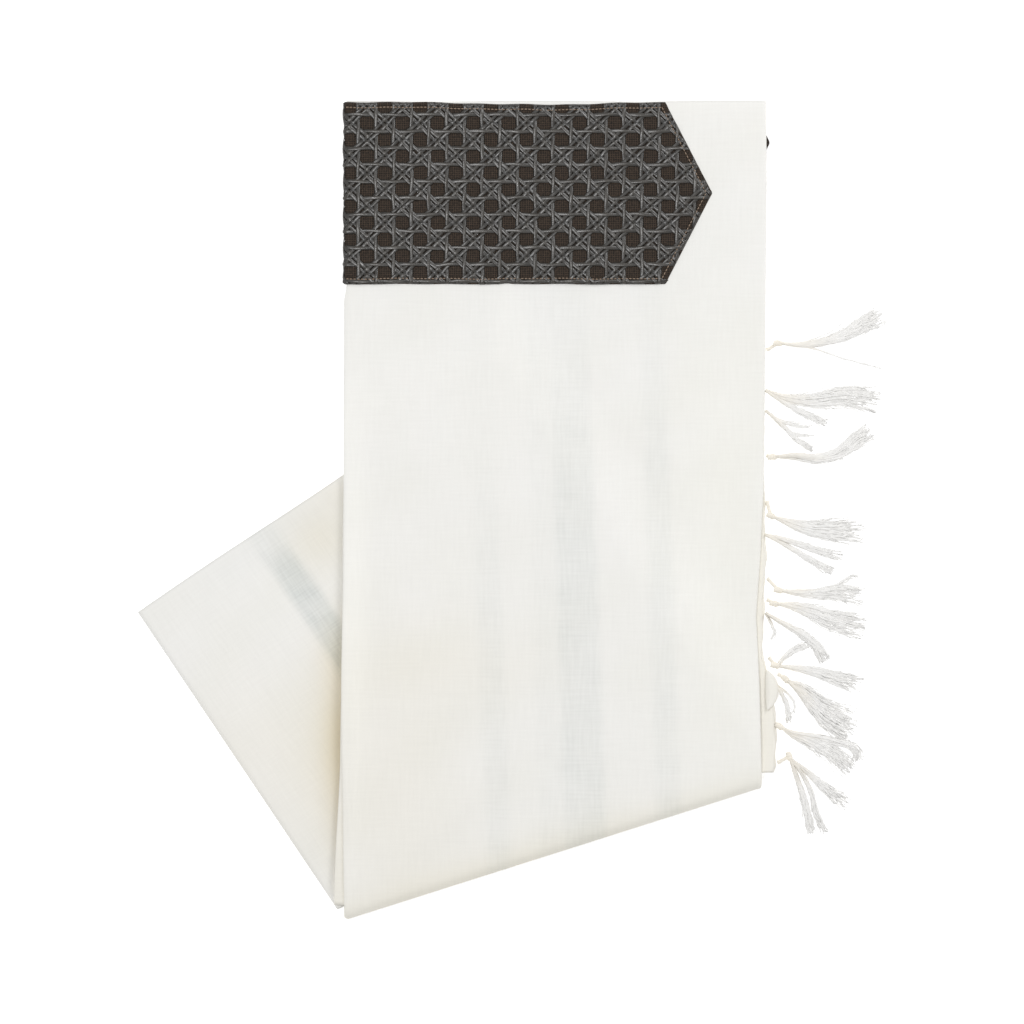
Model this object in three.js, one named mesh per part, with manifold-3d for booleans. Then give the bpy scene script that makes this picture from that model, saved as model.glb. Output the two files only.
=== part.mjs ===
// A tallit (prayer shawl) folded lengthways into a strip six layers thick and laid flat, neck band up, with the
// lower part of the strip turned behind along a slanting fold so that one corner of it shows at the left.
// Millimetres, +Z up. The origin is on the surface that the shawl lies on, under the middle of its box.
import * as THREE from "three";
import { mergeVertices } from "three/addons/utils/BufferGeometryUtils.js";
import Module from "manifold-3d";

const manifold = await Module();
manifold.setup();

// ---------- Driving dimensions ----------

const CLOTH = 1.2; // wall of one visible stretch of cloth
const GAP = 0.3; // air between neighbouring pieces
const FRINGED_ENDS = 2.2; // the shawl's two fringed ends, which lie lowest in the strip
const HIDDEN_LAYERS = 3; // the three layers between them and the top one
const HIDDEN_STACK = FRINGED_ENDS + GAP + HIDDEN_LAYERS;
const STACK = HIDDEN_STACK + GAP + CLOTH; // the strip's thickness
const LIFTED = STACK + GAP; // how high the strip rides where it lies on its own turned end
const LIFT_MARGIN = 8; // it stays that high a little way past the turned end,
const LIFT_RAMP = 48; // and comes down to the surface over this distance

// The strip's outline: upright at the top, closed by the slanting fold at the bottom.
const TOP_Y = 287;
const LEFT_X = -118;
const FOLD_LEFT = new THREE.Vector2(-117.5, -287.3);
const FOLD_RIGHT = new THREE.Vector2(175, -194.3);
const RIGHT_EDGE = [
  { y: TOP_Y, x: 178.2 },
  { y: 230, x: 178.8 },
  { y: 21, x: 176.7 },
  { y: -28, x: 174.5 },
  { y: -75, x: 171.4 },
  { y: -118, x: 173.4 },
  { y: FOLD_RIGHT.y, x: FOLD_RIGHT.x },
];

// The turned end: the same strip mirrored in the slanting fold.
const REAR_CORNER = new THREE.Vector2(-262.5, -71.4);
const REAR_FAR_CORNER = new THREE.Vector2(-16.9, 93.7); // under the front stretch

// How each edge turns down: radius outwards and depth of the turn.
const LEFT_TURN = { radius: 3, depth: 2.6 };
const RIGHT_TURN = { radius: 4, depth: 4.5 };
const REAR_TURN = { radius: 5, depth: STACK };
const SLANT_RADIUS = 8;
const SLANT_CLEAR = 15; // the hidden layers stop this far short of the slanting fold
const TURN_STEPS = 5; // facets of each turn

// The neck band, folded in half with the shawl, so one pointed half shows.
const BAND = {
  width: 127.9,
  topGap: 0.7, // from the shawl's top edge
  dip: 2.2, // how far its upper edge sags below that in the middle,
  dipX: 20, // here,
  dipReach: 60, // over about this distance each way
  tipX: 140.3,
  shoulderX: 106.5,
  tip: 0.5, // half the blunt tip's width
  thickness: 1.5,
};
const BAND_BOTTOM_Y = TOP_Y - BAND.topGap - BAND.width;
const BAND_INSET = BAND.thickness + GAP; // the cloth draws in by this much inside the band's fold

// The fringed ends lie a little askew, so their border shows past the strip's right edge.
const BORDER = { top: FRINGED_ENDS, inner: 5.4, head: 128, foot: -184 };
const BORDER_EDGE = [
  { y: BORDER.head, x: 177.4 },
  { y: 21, x: 177.6 },
  { y: -35, x: 178.6 },
  { y: -77, x: 177.6 },
  { y: -104, x: 178.6 },
  { y: -122, x: 184.4 },
  { y: -138, x: 182.6 },
  { y: BORDER.foot, x: 184.8 },
];

// A fold of the layers inside shows below the strip's left edge.
const SIDE_FOLD = { bottom: FRINGED_ENDS, top: 4.1, inner: -112.4, head: 150, foot: -264 };
const SIDE_FOLD_EDGE = [
  { y: SIDE_FOLD.head, x: -117.4 },
  { y: -100, x: -118 },
  { y: -180, x: -120 },
  { y: -230, x: -123 },
  { y: SIDE_FOLD.foot, x: -124.8 },
];

// The corner of the end's dark reinforcing patch that peeps out at the right edge, seen from above.
const PATCH_CORNERS = [
  { x: 173.4, y: 245 },
  { x: 179.2, y: 248 },
  { x: 180.7, y: 257.6 },
  { x: 173.4, y: 263 },
];
const PATCH_BOTTOM_Z = 0.6;
const PATCH_THICKNESS = 1;

// The knotted tassels, from the top down: where each leaves the border, its knot, the middle and the end of its
// threads, and the half width that the threads fan out to.
const TASSELS = [
  { root: [178.8, 112.6], knot: [186.2, 117.3], mid: [222.6, 119.4], tip: [260.2, 134.8], fan: 6 },
  { root: [178.8, 84.4], knot: [184.5, 83], mid: [212, 76.5], tip: [258.5, 72.5], fan: 8 },
  { root: [178.8, 70.2], knot: [183, 66.5], mid: [196.5, 54.5], tip: [211.4, 43], fan: 3 },
  { root: [178.8, 37.8], knot: [183, 37.5], mid: [222, 36.6], tip: [250.6, 54], fan: 5 },
  { root: [180.4, 0.5], knot: [184.4, -4.6], mid: [215.6, -12.4], tip: [248.5, -14.6], fan: 8 },
  { root: [180.8, -19], knot: [184.4, -21], mid: [203, -29.5], tip: [229.6, -38.6], fan: 5 },
  { root: [180.6, -49.4], knot: [187.2, -53.6], mid: [215.6, -57.6], tip: [246, -60], fan: 6.4 },
  { root: [180, -63.2], knot: [185.6, -64.8], mid: [215.6, -73.6], tip: [247, -83], fan: 6 },
  { root: [180, -75.4], knot: [184.4, -77.4], mid: [201, -88.6], tip: [221.4, -101.4], fan: 3.6 },
  { root: [180.4, -100.4], knot: [184.8, -103.4], mid: [213, -111], tip: [244, -121], fan: 6 },
  { root: [187.4, -115.4], knot: [191.4, -118.6], mid: [212.6, -131.4], tip: [240, -147.4], fan: 7.6 },
  { root: [185.6, -129.4], knot: [188.6, -132], mid: [193.4, -141.6], tip: [196.4, -150.4], fan: 2.6 },
  { root: [186.4, -154.4], knot: [189.6, -156.6], mid: [210, -168], tip: [237.6, -181.6], fan: 8 },
  { root: [187.4, -173.8], knot: [194, -174.6], mid: [205.6, -196], tip: [211.6, -226.5], fan: 6 },
];
const TASSEL = { stem: 1, knot: 2.6, neck: 1.7, bundle: 1.5, flat: 0.7, sides: 8 }; // half sizes

const COLOURS = { cloth: 0xf1efe8, band: 0x34322e, fringe: 0xf3efe6 };

// ---------- Small helpers ----------

const { lerp, smoothstep } = THREE.MathUtils;

/** The x of an edge table at height y, straight between its rows. */
function edgeAt(table, y) {
  const below = table.findIndex((row) => row.y <= y);
  if (below < 0) return table.at(-1).x;
  if (below === 0) return table[0].x;
  const [a, b] = [table[below - 1], table[below]];
  return lerp(a.x, b.x, (a.y - y) / (a.y - b.y));
}

/** How far (x, y) lies outside a convex polygon that is listed counter-clockwise; negative inside. */
function outside(polygon, x, y) {
  const distances = polygon.map((a, i) => {
    const b = polygon[(i + 1) % polygon.length];
    const [dx, dy] = [b.x - a.x, b.y - a.y];
    return ((x - a.x) * dy - (y - a.y) * dx) / Math.hypot(dx, dy);
  });
  return Math.max(...distances);
}

/** Evenly spaced values from a to b, both included. */
function spread(a, b, steps) {
  return Array.from({ length: steps + 1 }, (_, i) => lerp(a, b, i / steps));
}

const REAR_OUTLINE = [REAR_CORNER, FOLD_LEFT, FOLD_RIGHT, REAR_FAR_CORNER];

/** Height of the strip's underside: lifted over its own turned end, and down on the surface elsewhere. */
function underside(x, y) {
  return LIFTED * (1 - smoothstep(outside(REAR_OUTLINE, x, y) - LIFT_MARGIN, 0, LIFT_RAMP));
}

// ---------- Plans: where a share across and a share along fall, seen from above ----------

/** A plan between two edges, each a function of the share along it. */
function plan(leftAt, rightAt) {
  return {
    at: (across, along) => leftAt(along).lerp(rightAt(along), across),
    width: (along) => leftAt(along).distanceTo(rightAt(along)),
    length: (across) => leftAt(0).lerp(rightAt(0), across).distanceTo(leftAt(1).lerp(rightAt(1), across)),
  };
}

const leftRowY = (along) => lerp(TOP_Y, FOLD_LEFT.y, along);
const rightRowY = (along) => lerp(TOP_Y, FOLD_RIGHT.y, along);
const bandShare = (y) => smoothstep(y, BAND_BOTTOM_Y - 28, BAND_BOTTOM_Y - 9);

/** The strip, from the top edge to the slanting fold; its left edge draws in inside the neck band. */
const strip = plan(
  (along) => new THREE.Vector2(LEFT_X + BAND_INSET * bandShare(leftRowY(along)), leftRowY(along)),
  (along) => new THREE.Vector2(edgeAt(RIGHT_EDGE, rightRowY(along)), rightRowY(along)),
);

/** What shows of the turned end, from its far edge to the slanting fold, as far as some upright line. */
function rearPlan(lineX) {
  const onLine = (a, b) => a.clone().lerp(b, (lineX - a.x) / (b.x - a.x));
  const [far, near] = [onLine(REAR_CORNER, REAR_FAR_CORNER), onLine(FOLD_LEFT, FOLD_RIGHT)];
  return plan(
    (along) => REAR_CORNER.clone().lerp(FOLD_LEFT, along),
    (along) => far.clone().lerp(near, along),
  );
}

// Every piece of the strip shares these lines, so that their facets stay the same distance apart.
const STRIP_ACROSS = [0.035, ...spread(0.12, 0.88, 7), 0.965];
const STRIP_ALONG = [...spread(0, 0.95, 20).slice(1), 0.968];
const REAR_ACROSS = spread(0.2, 0.86, 3);
const REAR_ALONG = spread(0.14, 0.86, 5);

// ---------- Solids ----------

/** An indexed geometry of loose triangles, with shared vertices and no triangle without area. */
function closed(positions) {
  const loose = new THREE.BufferGeometry();
  loose.setAttribute("position", new THREE.Float32BufferAttribute(positions, 3));
  const geometry = mergeVertices(loose, 1e-3);
  const index = geometry.index.array;
  const kept = [];
  for (let t = 0; t < index.length; t += 3) {
    const [a, b, c] = index.slice(t, t + 3);
    if (a !== b && b !== c && c !== a) kept.push(a, b, c);
  }
  geometry.setIndex(kept);
  geometry.computeVertexNormals();
  return geometry;
}

/** The grid indices round a grid's border, counter-clockwise from above, from the upper left. */
function borderOf(columns, rows) {
  const [right, foot] = [columns - 1, rows - 1];
  const border = [];
  for (let j = 0; j < foot; j++) border.push([0, j]);
  for (let i = 0; i < right; i++) border.push([i, foot]);
  for (let j = foot; j > 0; j--) border.push([right, j]);
  for (let i = right; i > 0; i--) border.push([i, 0]);
  return border;
}

/** A closed geometry from rows of points above, rings of points round the rim, and rows of points below. */
function solidBetween(upper, rings, lower) {
  const [columns, rows] = [upper[0].length, upper.length];
  const border = borderOf(columns, rows);
  const positions = [];
  const quad = (a, b, c, d) => {
    for (const p of [a, b, c, a, c, d]) positions.push(p.x, p.y, p.z);
  };
  for (let j = 0; j + 1 < rows; j++) {
    for (let i = 0; i + 1 < columns; i++) {
      quad(upper[j][i], upper[j + 1][i], upper[j + 1][i + 1], upper[j][i + 1]);
      quad(lower[j][i], lower[j][i + 1], lower[j + 1][i + 1], lower[j + 1][i]);
    }
  }
  const loops = [border.map(([i, j]) => upper[j][i]), ...rings, border.map(([i, j]) => lower[j][i])];
  for (let k = 0; k + 1 < loops.length; k++) {
    border.forEach((_, n) => {
      const next = (n + 1) % border.length;
      quad(loops[k][n], loops[k + 1][n], loops[k + 1][next], loops[k][next]);
    });
  }
  return closed(positions);
}

/** One side's turn as stations across: how far out each lies and how deep, on the outer or inner face. */
function turn({ radius, depth }, face) {
  return spread(Math.PI, 0, TURN_STEPS).map((angle) => ({
    out: (radius - face) * Math.sin(angle),
    deep: face + ((depth - 2 * face) * (1 - Math.cos(angle))) / 2,
  }));
}

/** The stations across a cloth wall; face is 0 on its outer face and the wall on its inner face. */
function acrossStations(left, cuts, right, face) {
  const stations = turn(left, face).map(({ out, deep }) => ({ edge: "left", inset: left.radius - out, deep }));
  for (const share of cuts) stations.push({ share, deep: face });
  if (!right) return [...stations, { share: 1, deep: face }];
  const turned = turn(right, face).reverse();
  return [...stations, ...turned.map(({ out, deep }) => ({ edge: "right", inset: right.radius - out, deep }))];
}

/** The share across at which a station lies in its row. */
function shareOf(station, width) {
  if (station.edge === "left") return station.inset / width;
  if (station.edge === "right") return 1 - station.inset / width;
  return station.share;
}

/** A block of hidden layers: its rim shows them as ridges with grooves between, edge by edge. */
function layeredBlock({ map, across, along, inset, top, bottom, layers, thickness }) {
  const row = (j, u) => [inset.head / map.length(u), ...along, 1 - inset.foot / map.length(u)][j];
  const column = (i, v) => [inset.left / map.width(v), ...across, 1 - inset.right / map.width(v)][i];
  const [columns, rows] = [across.length + 2, along.length + 2];
  const point = (i, j, out, z) => {
    const v = row(j, i / (columns - 1));
    const u = column(i, v);
    const sideways = ({ 0: -out, [columns - 1]: out }[i] ?? 0) / map.width(v);
    const lengthways = ({ 0: -out, [rows - 1]: out }[j] ?? 0) / map.length(u);
    const [held, moved] = [map.at(u, v), map.at(u + sideways, v + lengthways)];
    return new THREE.Vector3(moved.x, moved.y, z(held.x, held.y));
  };
  const grid = (z) =>
    Array.from({ length: rows }, (_, j) => Array.from({ length: columns }, (_, i) => point(i, j, 0, z)));
  const rings = [];
  const addRing = (out, drop) =>
    rings.push(borderOf(columns, rows).map(([i, j]) => point(i, j, out, (x, y) => top(x, y) - drop)));
  const groove = 0.9;
  for (let n = 0; n < layers; n++) {
    const reach = n % 2 ? 0.5 : 1; // every other layer ends a little short
    addRing(reach, (thickness * (n + 0.2)) / layers);
    addRing(reach, (thickness * (n + 0.8)) / layers);
    if (n + 1 < layers) addRing(reach - groove, (thickness * (n + 1)) / layers);
  }
  const foot = 0.5; // how far the lowest layer stands out where it meets the surface
  rings.push(borderOf(columns, rows).map(([i, j]) => point(i, j, foot, bottom)));
  return solidBetween(grid(top), rings, grid(bottom));
}

/** One solid from two that run into each other. */
function united(a, b) {
  const [first, second] = [a, b].map((geometry) => {
    const vertProperties = new Float32Array(geometry.attributes.position.array);
    const triVerts = new Uint32Array(geometry.index.array);
    return new manifold.Manifold(new manifold.Mesh({ numProp: 3, vertProperties, triVerts }));
  });
  const mesh = first.add(second).getMesh();
  const geometry = new THREE.BufferGeometry();
  geometry.setAttribute("position", new THREE.BufferAttribute(mesh.vertProperties, 3));
  geometry.setIndex(new THREE.BufferAttribute(mesh.triVerts, 1));
  geometry.computeVertexNormals();
  return geometry;
}

// ---------- The pieces ----------

/** The stretch on top: folds at both sides, a selvedge at the head, the slanting fold round everything. */
function frontStretch() {
  const skin = (face) => {
    const stations = acrossStations(LEFT_TURN, STRIP_ACROSS, RIGHT_TURN, face);
    const level = [0, ...STRIP_ALONG].map((along) => ({ along, angle: 0 }));
    const slant = spread(0, Math.PI, TURN_STEPS + 1).map((angle) => ({ angle }));
    return [...level, ...slant].map(({ along, angle }) =>
      stations.map((station) => {
        const share = shareOf(station, strip.width(along ?? 0.98));
        const start = along ?? 1 - SLANT_RADIUS / strip.length(share);
        const held = strip.at(share, start);
        const height = underside(held.x, held.y) + STACK;
        const out = (SLANT_RADIUS - station.deep) * Math.sin(angle);
        const drop = station.deep + ((height - 2 * station.deep) * (1 - Math.cos(angle))) / 2;
        const p = strip.at(share, start + out / strip.length(share));
        return new THREE.Vector3(p.x, p.y, height - drop);
      }),
    );
  };
  return solidBetween(skin(0), [], skin(CLOTH));
}

/** Everything no one sees, in the strip and in its turned end, as one solid with layered edges. */
function hiddenLayers() {
  const inStrip = layeredBlock({
    map: strip,
    across: STRIP_ACROSS,
    along: STRIP_ALONG,
    inset: { left: 7, right: 7, head: 2, foot: SLANT_CLEAR },
    top: (x, y) => underside(x, y) + HIDDEN_STACK,
    bottom: () => 0,
    layers: 5,
    thickness: HIDDEN_STACK,
  });
  const inTurnedEnd = layeredBlock({
    map: rearPlan(LEFT_X + 12),
    across: REAR_ACROSS,
    along: REAR_ALONG,
    inset: { left: 6.6, right: 0, head: 1.3, foot: SLANT_CLEAR },
    top: () => HIDDEN_STACK,
    bottom: () => 0,
    layers: 5,
    thickness: HIDDEN_STACK,
  });
  return united(inStrip, inTurnedEnd);
}

/** The turned end's visible stretch, folded down to the surface along its long left edge. */
function rearStretch() {
  const map = rearPlan(LEFT_X + 5.4);
  const skin = (face) =>
    [0, ...REAR_ALONG, 1].map((along) =>
      acrossStations(REAR_TURN, REAR_ACROSS, null, face).map((station) => {
        const v = Math.min(along, 1 - SLANT_CLEAR / map.length(0));
        const p = map.at(shareOf(station, map.width(v)), v);
        return new THREE.Vector3(p.x, p.y, STACK - station.deep);
      }),
    );
  return solidBetween(skin(0), [], skin(CLOTH));
}

/** A narrow strip of the layers inside that shows past one of the strip's upright edges. */
function narrowStrip(rowY, head, foot, sidesAt, low, high, rounded) {
  const stations = [0, ...STRIP_ALONG].map(rowY).filter((y) => y <= head && y >= foot);
  const rowsAt = (rise) =>
    stations.map((y) => sidesAt(y).map((x) => new THREE.Vector3(x, y, underside(x, y) + rise)));
  const [upper, lower] = [rowsAt(high), rowsAt(low)];
  const nose = borderOf(2, stations.length).map(([i, j]) => {
    const middle = upper[j][i].clone().lerp(lower[j][i], 0.5);
    if (i === rounded) middle.x += i ? 0.8 : -0.8;
    return middle;
  });
  return solidBetween(upper, [nose], lower);
}

/** The border of the fringed ends, which the tassels hang from, past the strip's right edge. */
function fringedBorder() {
  const sides = (y) => [edgeAt(RIGHT_EDGE, y) - BORDER.inner, edgeAt(BORDER_EDGE, y) - 0.8];
  return narrowStrip(rightRowY, BORDER.head, BORDER.foot, sides, 0, BORDER.top, 1);
}

/** The fold that shows below the strip's left edge. */
function sideFold() {
  const sides = (y) => [edgeAt(SIDE_FOLD_EDGE, y) + 0.8, SIDE_FOLD.inner];
  return narrowStrip(leftRowY, SIDE_FOLD.head, SIDE_FOLD.foot, sides, SIDE_FOLD.bottom, SIDE_FOLD.top, 0);
}

/** Half the neck band's width at x, down to its blunt tip. */
function bandHalf(x) {
  const taper = (BAND.tipX - x) / (BAND.tipX - BAND.shoulderX);
  return Math.max(BAND.tip, (BAND.width / 2) * Math.min(1, taper));
}

/** The neck band's y at x, a share of the way from its upper edge, which sags a little, to its lower one. */
function bandY(x, share) {
  const half = bandHalf(x);
  const sag = BAND.dip * Math.exp(-(((x - BAND.dipX) / BAND.dipReach) ** 2));
  const centre = TOP_Y - BAND.topGap - BAND.width / 2;
  return centre + half * (1 - 2 * share) - (sag * (1 - share) * half) / (BAND.width / 2);
}

/** The neck band: flat on the front stretch from its point, then round the left fold and under it. */
function neckBand() {
  const foldX = LEFT_X + BAND_INSET + LEFT_TURN.radius;
  const straight = spread(foldX, BAND.shoulderX, 11).slice(1);
  const level = [...straight, ...spread(BAND.shoulderX, BAND.tipX, 3).slice(1)];
  const half = LEFT_TURN.depth / 2;
  const skin = (out) =>
    spread(0, 1, 6).map((share) => {
      const foldY = bandY(foldX, share);
      const round = spread(Math.PI, 0, TURN_STEPS).map((angle) => {
        const x = foldX - (LEFT_TURN.radius + out) * Math.sin(angle);
        return new THREE.Vector3(x, foldY, STACK - half + (half + out) * Math.cos(angle));
      });
      return [...round, ...level.map((x) => new THREE.Vector3(x, bandY(x, share), STACK + out))];
    });
  return solidBetween(skin(GAP + BAND.thickness), [], skin(GAP));
}

/** The corner of the dark patch sewn to the fringed end, which peeps out at the right edge. */
function cornerPatch() {
  const outline = new THREE.Shape(PATCH_CORNERS.map((p) => new THREE.Vector2(p.x, p.y)));
  const geometry = new THREE.ExtrudeGeometry(outline, { depth: PATCH_THICKNESS, bevelEnabled: false });
  return geometry.translate(0, 0, PATCH_BOTTOM_Z);
}

/** The sections of a tassel, from its stem: centre, half width, half height and the height of its centre. */
function tasselSections({ root, knot, mid, tip, fan }) {
  const between = (a, b, t) => [lerp(a[0], b[0], t), lerp(a[1], b[1], t)];
  const borderZ = underside(...root) + BORDER.top / 2;
  const { stem, neck, bundle, flat } = TASSEL;
  return [
    { at: root, half: stem, high: stem * 0.9, z: borderZ },
    { at: between(root, knot, 0.55), half: stem, high: stem, z: borderZ + 1 },
    { at: knot, half: TASSEL.knot, high: TASSEL.knot * 0.85, z: borderZ / 2 + TASSEL.knot },
    { at: between(knot, mid, 0.25), half: neck, high: neck, z: borderZ / 3 + neck },
    { at: mid, half: lerp(neck, fan, 0.35), high: bundle, z: bundle },
    { at: between(mid, tip, 0.55), half: lerp(neck, fan, 0.7), high: lerp(bundle, flat, 0.5), z: bundle },
    { at: tip, half: fan, high: flat, z: flat },
  ];
}

/** A tassel: stem, knot and fanned threads, drooping from the border to the surface. */
function tassel(row) {
  const sections = tasselSections(row);
  const rings = sections.map(({ at, half, high, z }, k) => {
    const before = sections[Math.max(k - 1, 0)].at;
    const after = sections[Math.min(k + 1, sections.length - 1)].at;
    const side = new THREE.Vector2(after[1] - before[1], before[0] - after[0]).normalize();
    const centre = new THREE.Vector3(at[0], at[1], Math.max(z, high)); // never below the surface
    return spread(0, 2 * Math.PI, TASSEL.sides)
      .slice(0, -1)
      .map((angle) => {
        const out = half * Math.cos(angle);
        return centre.clone().add(new THREE.Vector3(side.x * out, side.y * out, high * Math.sin(angle)));
      });
  });
  const positions = [];
  const triangle = (...corners) => {
    for (const p of corners) positions.push(p.x, p.y, p.z);
  };
  for (let k = 0; k + 1 < rings.length; k++) {
    for (let n = 0; n < TASSEL.sides; n++) {
      const m = (n + 1) % TASSEL.sides;
      triangle(rings[k][n], rings[k + 1][n], rings[k + 1][m]);
      triangle(rings[k][n], rings[k + 1][m], rings[k][m]);
    }
  }
  const [first, last] = [rings[0], rings.at(-1)];
  for (let n = 1; n + 1 < TASSEL.sides; n++) {
    triangle(first[0], first[n], first[n + 1]);
    triangle(last[0], last[n + 1], last[n]);
  }
  return closed(positions);
}

// ---------- Assembly ----------

const cloth = new THREE.MeshStandardMaterial({ color: COLOURS.cloth, roughness: 0.92, metalness: 0 });
const band = new THREE.MeshStandardMaterial({ color: COLOURS.band, roughness: 0.45, metalness: 0.1 });
const fringe = new THREE.MeshStandardMaterial({ color: COLOURS.fringe, roughness: 0.85, metalness: 0 });

const shawl = new THREE.Group();

/** Adds one named piece to the shawl. */
function add(name, geometry, material) {
  const piece = new THREE.Mesh(geometry, material);
  piece.name = name;
  shawl.add(piece);
}

add("front_stretch", frontStretch(), cloth);
add("rear_stretch", rearStretch(), cloth);
add("hidden_layers", hiddenLayers(), cloth);
add("side_fold", sideFold(), cloth);
add("fringed_border", fringedBorder(), cloth);
add("neck_band", neckBand(), band);
add("corner_patch", cornerPatch(), band);
TASSELS.forEach((row, n) => add(`tassel_${String(n + 1).padStart(2, "0")}`, tassel(row), fringe));

export default shawl;
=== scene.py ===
import logging
import math
from dataclasses import dataclass, field
from enum import Enum
from typing import Callable, Sequence

import bpy
import numpy as np
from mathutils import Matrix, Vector


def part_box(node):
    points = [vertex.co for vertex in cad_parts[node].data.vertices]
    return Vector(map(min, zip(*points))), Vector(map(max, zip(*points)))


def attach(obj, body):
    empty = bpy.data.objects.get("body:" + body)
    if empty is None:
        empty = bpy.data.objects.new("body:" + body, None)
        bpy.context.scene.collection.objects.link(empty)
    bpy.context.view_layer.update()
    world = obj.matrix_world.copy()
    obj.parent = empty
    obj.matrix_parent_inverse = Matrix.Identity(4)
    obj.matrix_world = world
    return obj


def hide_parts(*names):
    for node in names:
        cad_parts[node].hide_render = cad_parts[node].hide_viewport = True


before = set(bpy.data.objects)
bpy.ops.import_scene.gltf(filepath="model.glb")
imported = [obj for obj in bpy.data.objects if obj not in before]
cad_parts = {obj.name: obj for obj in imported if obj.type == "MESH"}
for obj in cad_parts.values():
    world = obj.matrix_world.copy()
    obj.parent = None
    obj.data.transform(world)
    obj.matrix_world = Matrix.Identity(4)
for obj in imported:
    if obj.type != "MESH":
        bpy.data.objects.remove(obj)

# A folded tallit (prayer shawl) with a neck band woven like chair cane and knotted tassels.
# Shapes are worked out in millimetres and turned to metres as each mesh is made.

MM = 0.001
LOG = logging.getLogger("tallit")
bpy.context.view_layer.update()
Array = np.ndarray
SLANT = math.atan2(93.0, 292.5)  # how steeply the slanting fold rises to the right
SLANT_INSET = 3.5  # how far its right end lies inside the strip's widest place


class Slot(Enum):
    """The record's material slots."""

    CLOTH = "cloth"
    BAND = "band"
    FRINGE = "fringe"


class Run(Enum):
    """The four ways that the neck band's strands run."""

    RISING = "rising"
    FALLING = "falling"
    LEVEL = "level"
    UPRIGHT = "upright"


# ---------- Numbers and curves ----------


def linear(code: str) -> tuple[float, float, float, float]:
    """Turns an sRGB hex colour into linear light.

    Args:
        code: the colour, such as "#f1efe8".

    Returns:
        Red, green, blue and an alpha of 1.
    """
    shares = [int(code[i : i + 2], 16) / 255 for i in (1, 3, 5)]
    return (*[c / 12.92 if c <= 0.04045 else ((c + 0.055) / 1.055) ** 2.4 for c in shares], 1.0)


def smoothstep(x: Array, low: float, high: float) -> Array:
    """A smooth rise from 0 at low to 1 at high."""
    t = np.clip((x - low) / (high - low), 0, 1)
    return t * t * (3 - 2 * t)


def bell(x: Array, centre: Array | float, reach: float) -> Array:
    """A smooth hump of height 1 round centre."""
    return np.exp(-(((x - centre) / reach) ** 2))


def ripple(x: Array, y: Array, seed: int, size: float, waves: int = 7) -> Array:
    """Soft, irregular hills of about unit height, the same on every run.

    Args:
        x: places across, in millimetres.
        y: places along, in millimetres.
        seed: which set of hills.
        size: the hills' usual length, in millimetres.
        waves: how many waves are summed.
    """
    rng = np.random.default_rng(seed)
    total = np.zeros(np.broadcast(x, y).shape)
    for _ in range(waves):
        heading, phase = rng.uniform(0, math.tau, 2)
        pitch = size * rng.uniform(0.7, 1.6)
        total += np.sin(math.tau * (x * math.cos(heading) + y * math.sin(heading)) / pitch + phase)
    return total / math.sqrt(waves)


def through(points: Sequence[Sequence[float]], count: int) -> Array:
    """A smooth curve through points, as count points evenly spread along its parameter.

    Args:
        points: two or more points.
        count: how many points to return.
    """
    p = np.array(points, float)
    p = np.vstack([2 * p[0] - p[1], p, 2 * p[-1] - p[-2]])
    spans = len(p) - 3
    t = np.linspace(0, spans, count)
    k = np.minimum(t.astype(int), spans - 1)
    u = (t - k)[:, None]
    a, b, c, d = p[k], p[k + 1], p[k + 2], p[k + 3]
    return 0.5 * (2 * b + (c - a) * u + (2 * a - 5 * b + 4 * c - d) * u**2 + (3 * b - a - 3 * c + d) * u**3)


# ---------- Meshes ----------


@dataclass
class MeshBin:
    """Collects points, faces and each point's own values, and makes one object of them."""

    points: list[Array] = field(default_factory=list)
    faces: list[Array] = field(default_factory=list)
    values: dict[str, list[Array]] = field(default_factory=dict)
    count: int = 0

    def add(self, points: Array, faces: Array, **values: Array) -> None:
        """Adds a patch of mesh.

        Args:
            points: N points in millimetres.
            faces: triangles or quads, counted from the patch's first point.
                A triangle repeats its last corner.
            values: named arrays of N numbers or N vectors.
        """
        self.points.append(points)
        self.faces.append(faces + self.count)
        self.count += len(points)
        for name, value in values.items():
            self.values.setdefault(name, []).append(np.asarray(value, float))

    def build(self, name: str, finish: bpy.types.Material, slot: Slot) -> bpy.types.Object:
        """Makes the object, smooth shaded, riding on the shawl's only body.

        Args:
            name: the object's name.
            finish: its material.
            slot: not used.

        Returns:
            The new object.
        """
        mesh = bpy.data.meshes.new(name)
        quads = np.vstack(self.faces).tolist()
        faces = [q if q[2] != q[3] else q[:3] for q in quads]
        mesh.from_pydata((np.vstack(self.points) * MM).tolist(), [], faces)
        mesh.shade_smooth()
        for key, parts in self.values.items():
            flat = np.concatenate(parts)
            kind = "FLOAT" if flat.ndim == 1 else "FLOAT_VECTOR"
            layer = mesh.attributes.new(name=key, type=kind, domain="POINT")
            layer.data.foreach_set("value" if flat.ndim == 1 else "vector", flat.ravel().astype(np.float32))
        mesh.materials.append(finish)
        mesh.validate()
        obj = bpy.data.objects.new(name, mesh)
        bpy.context.scene.collection.objects.link(obj)
        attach(obj, "root")
        return obj


def grid_faces(rows: int, columns: int, around: bool = False, flip: bool = False) -> Array:
    """The quads of a grid of points that is stored row by row.

    Args:
        rows: how many rows of points.
        columns: how many points in each row.
        around: whether each row closes on itself.
        flip: whether the faces look the other way.
    """
    j = np.arange(rows - 1)[:, None]
    i = np.arange(columns if around else columns - 1)[None, :]
    right = (i + 1) % columns
    corners = [j * columns + i, (j + 1) * columns + i, (j + 1) * columns + right, j * columns + right]
    quads = np.stack([c + 0 * (i + j) for c in corners], -1).reshape(-1, 4)
    return quads[:, ::-1] if flip else quads


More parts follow.
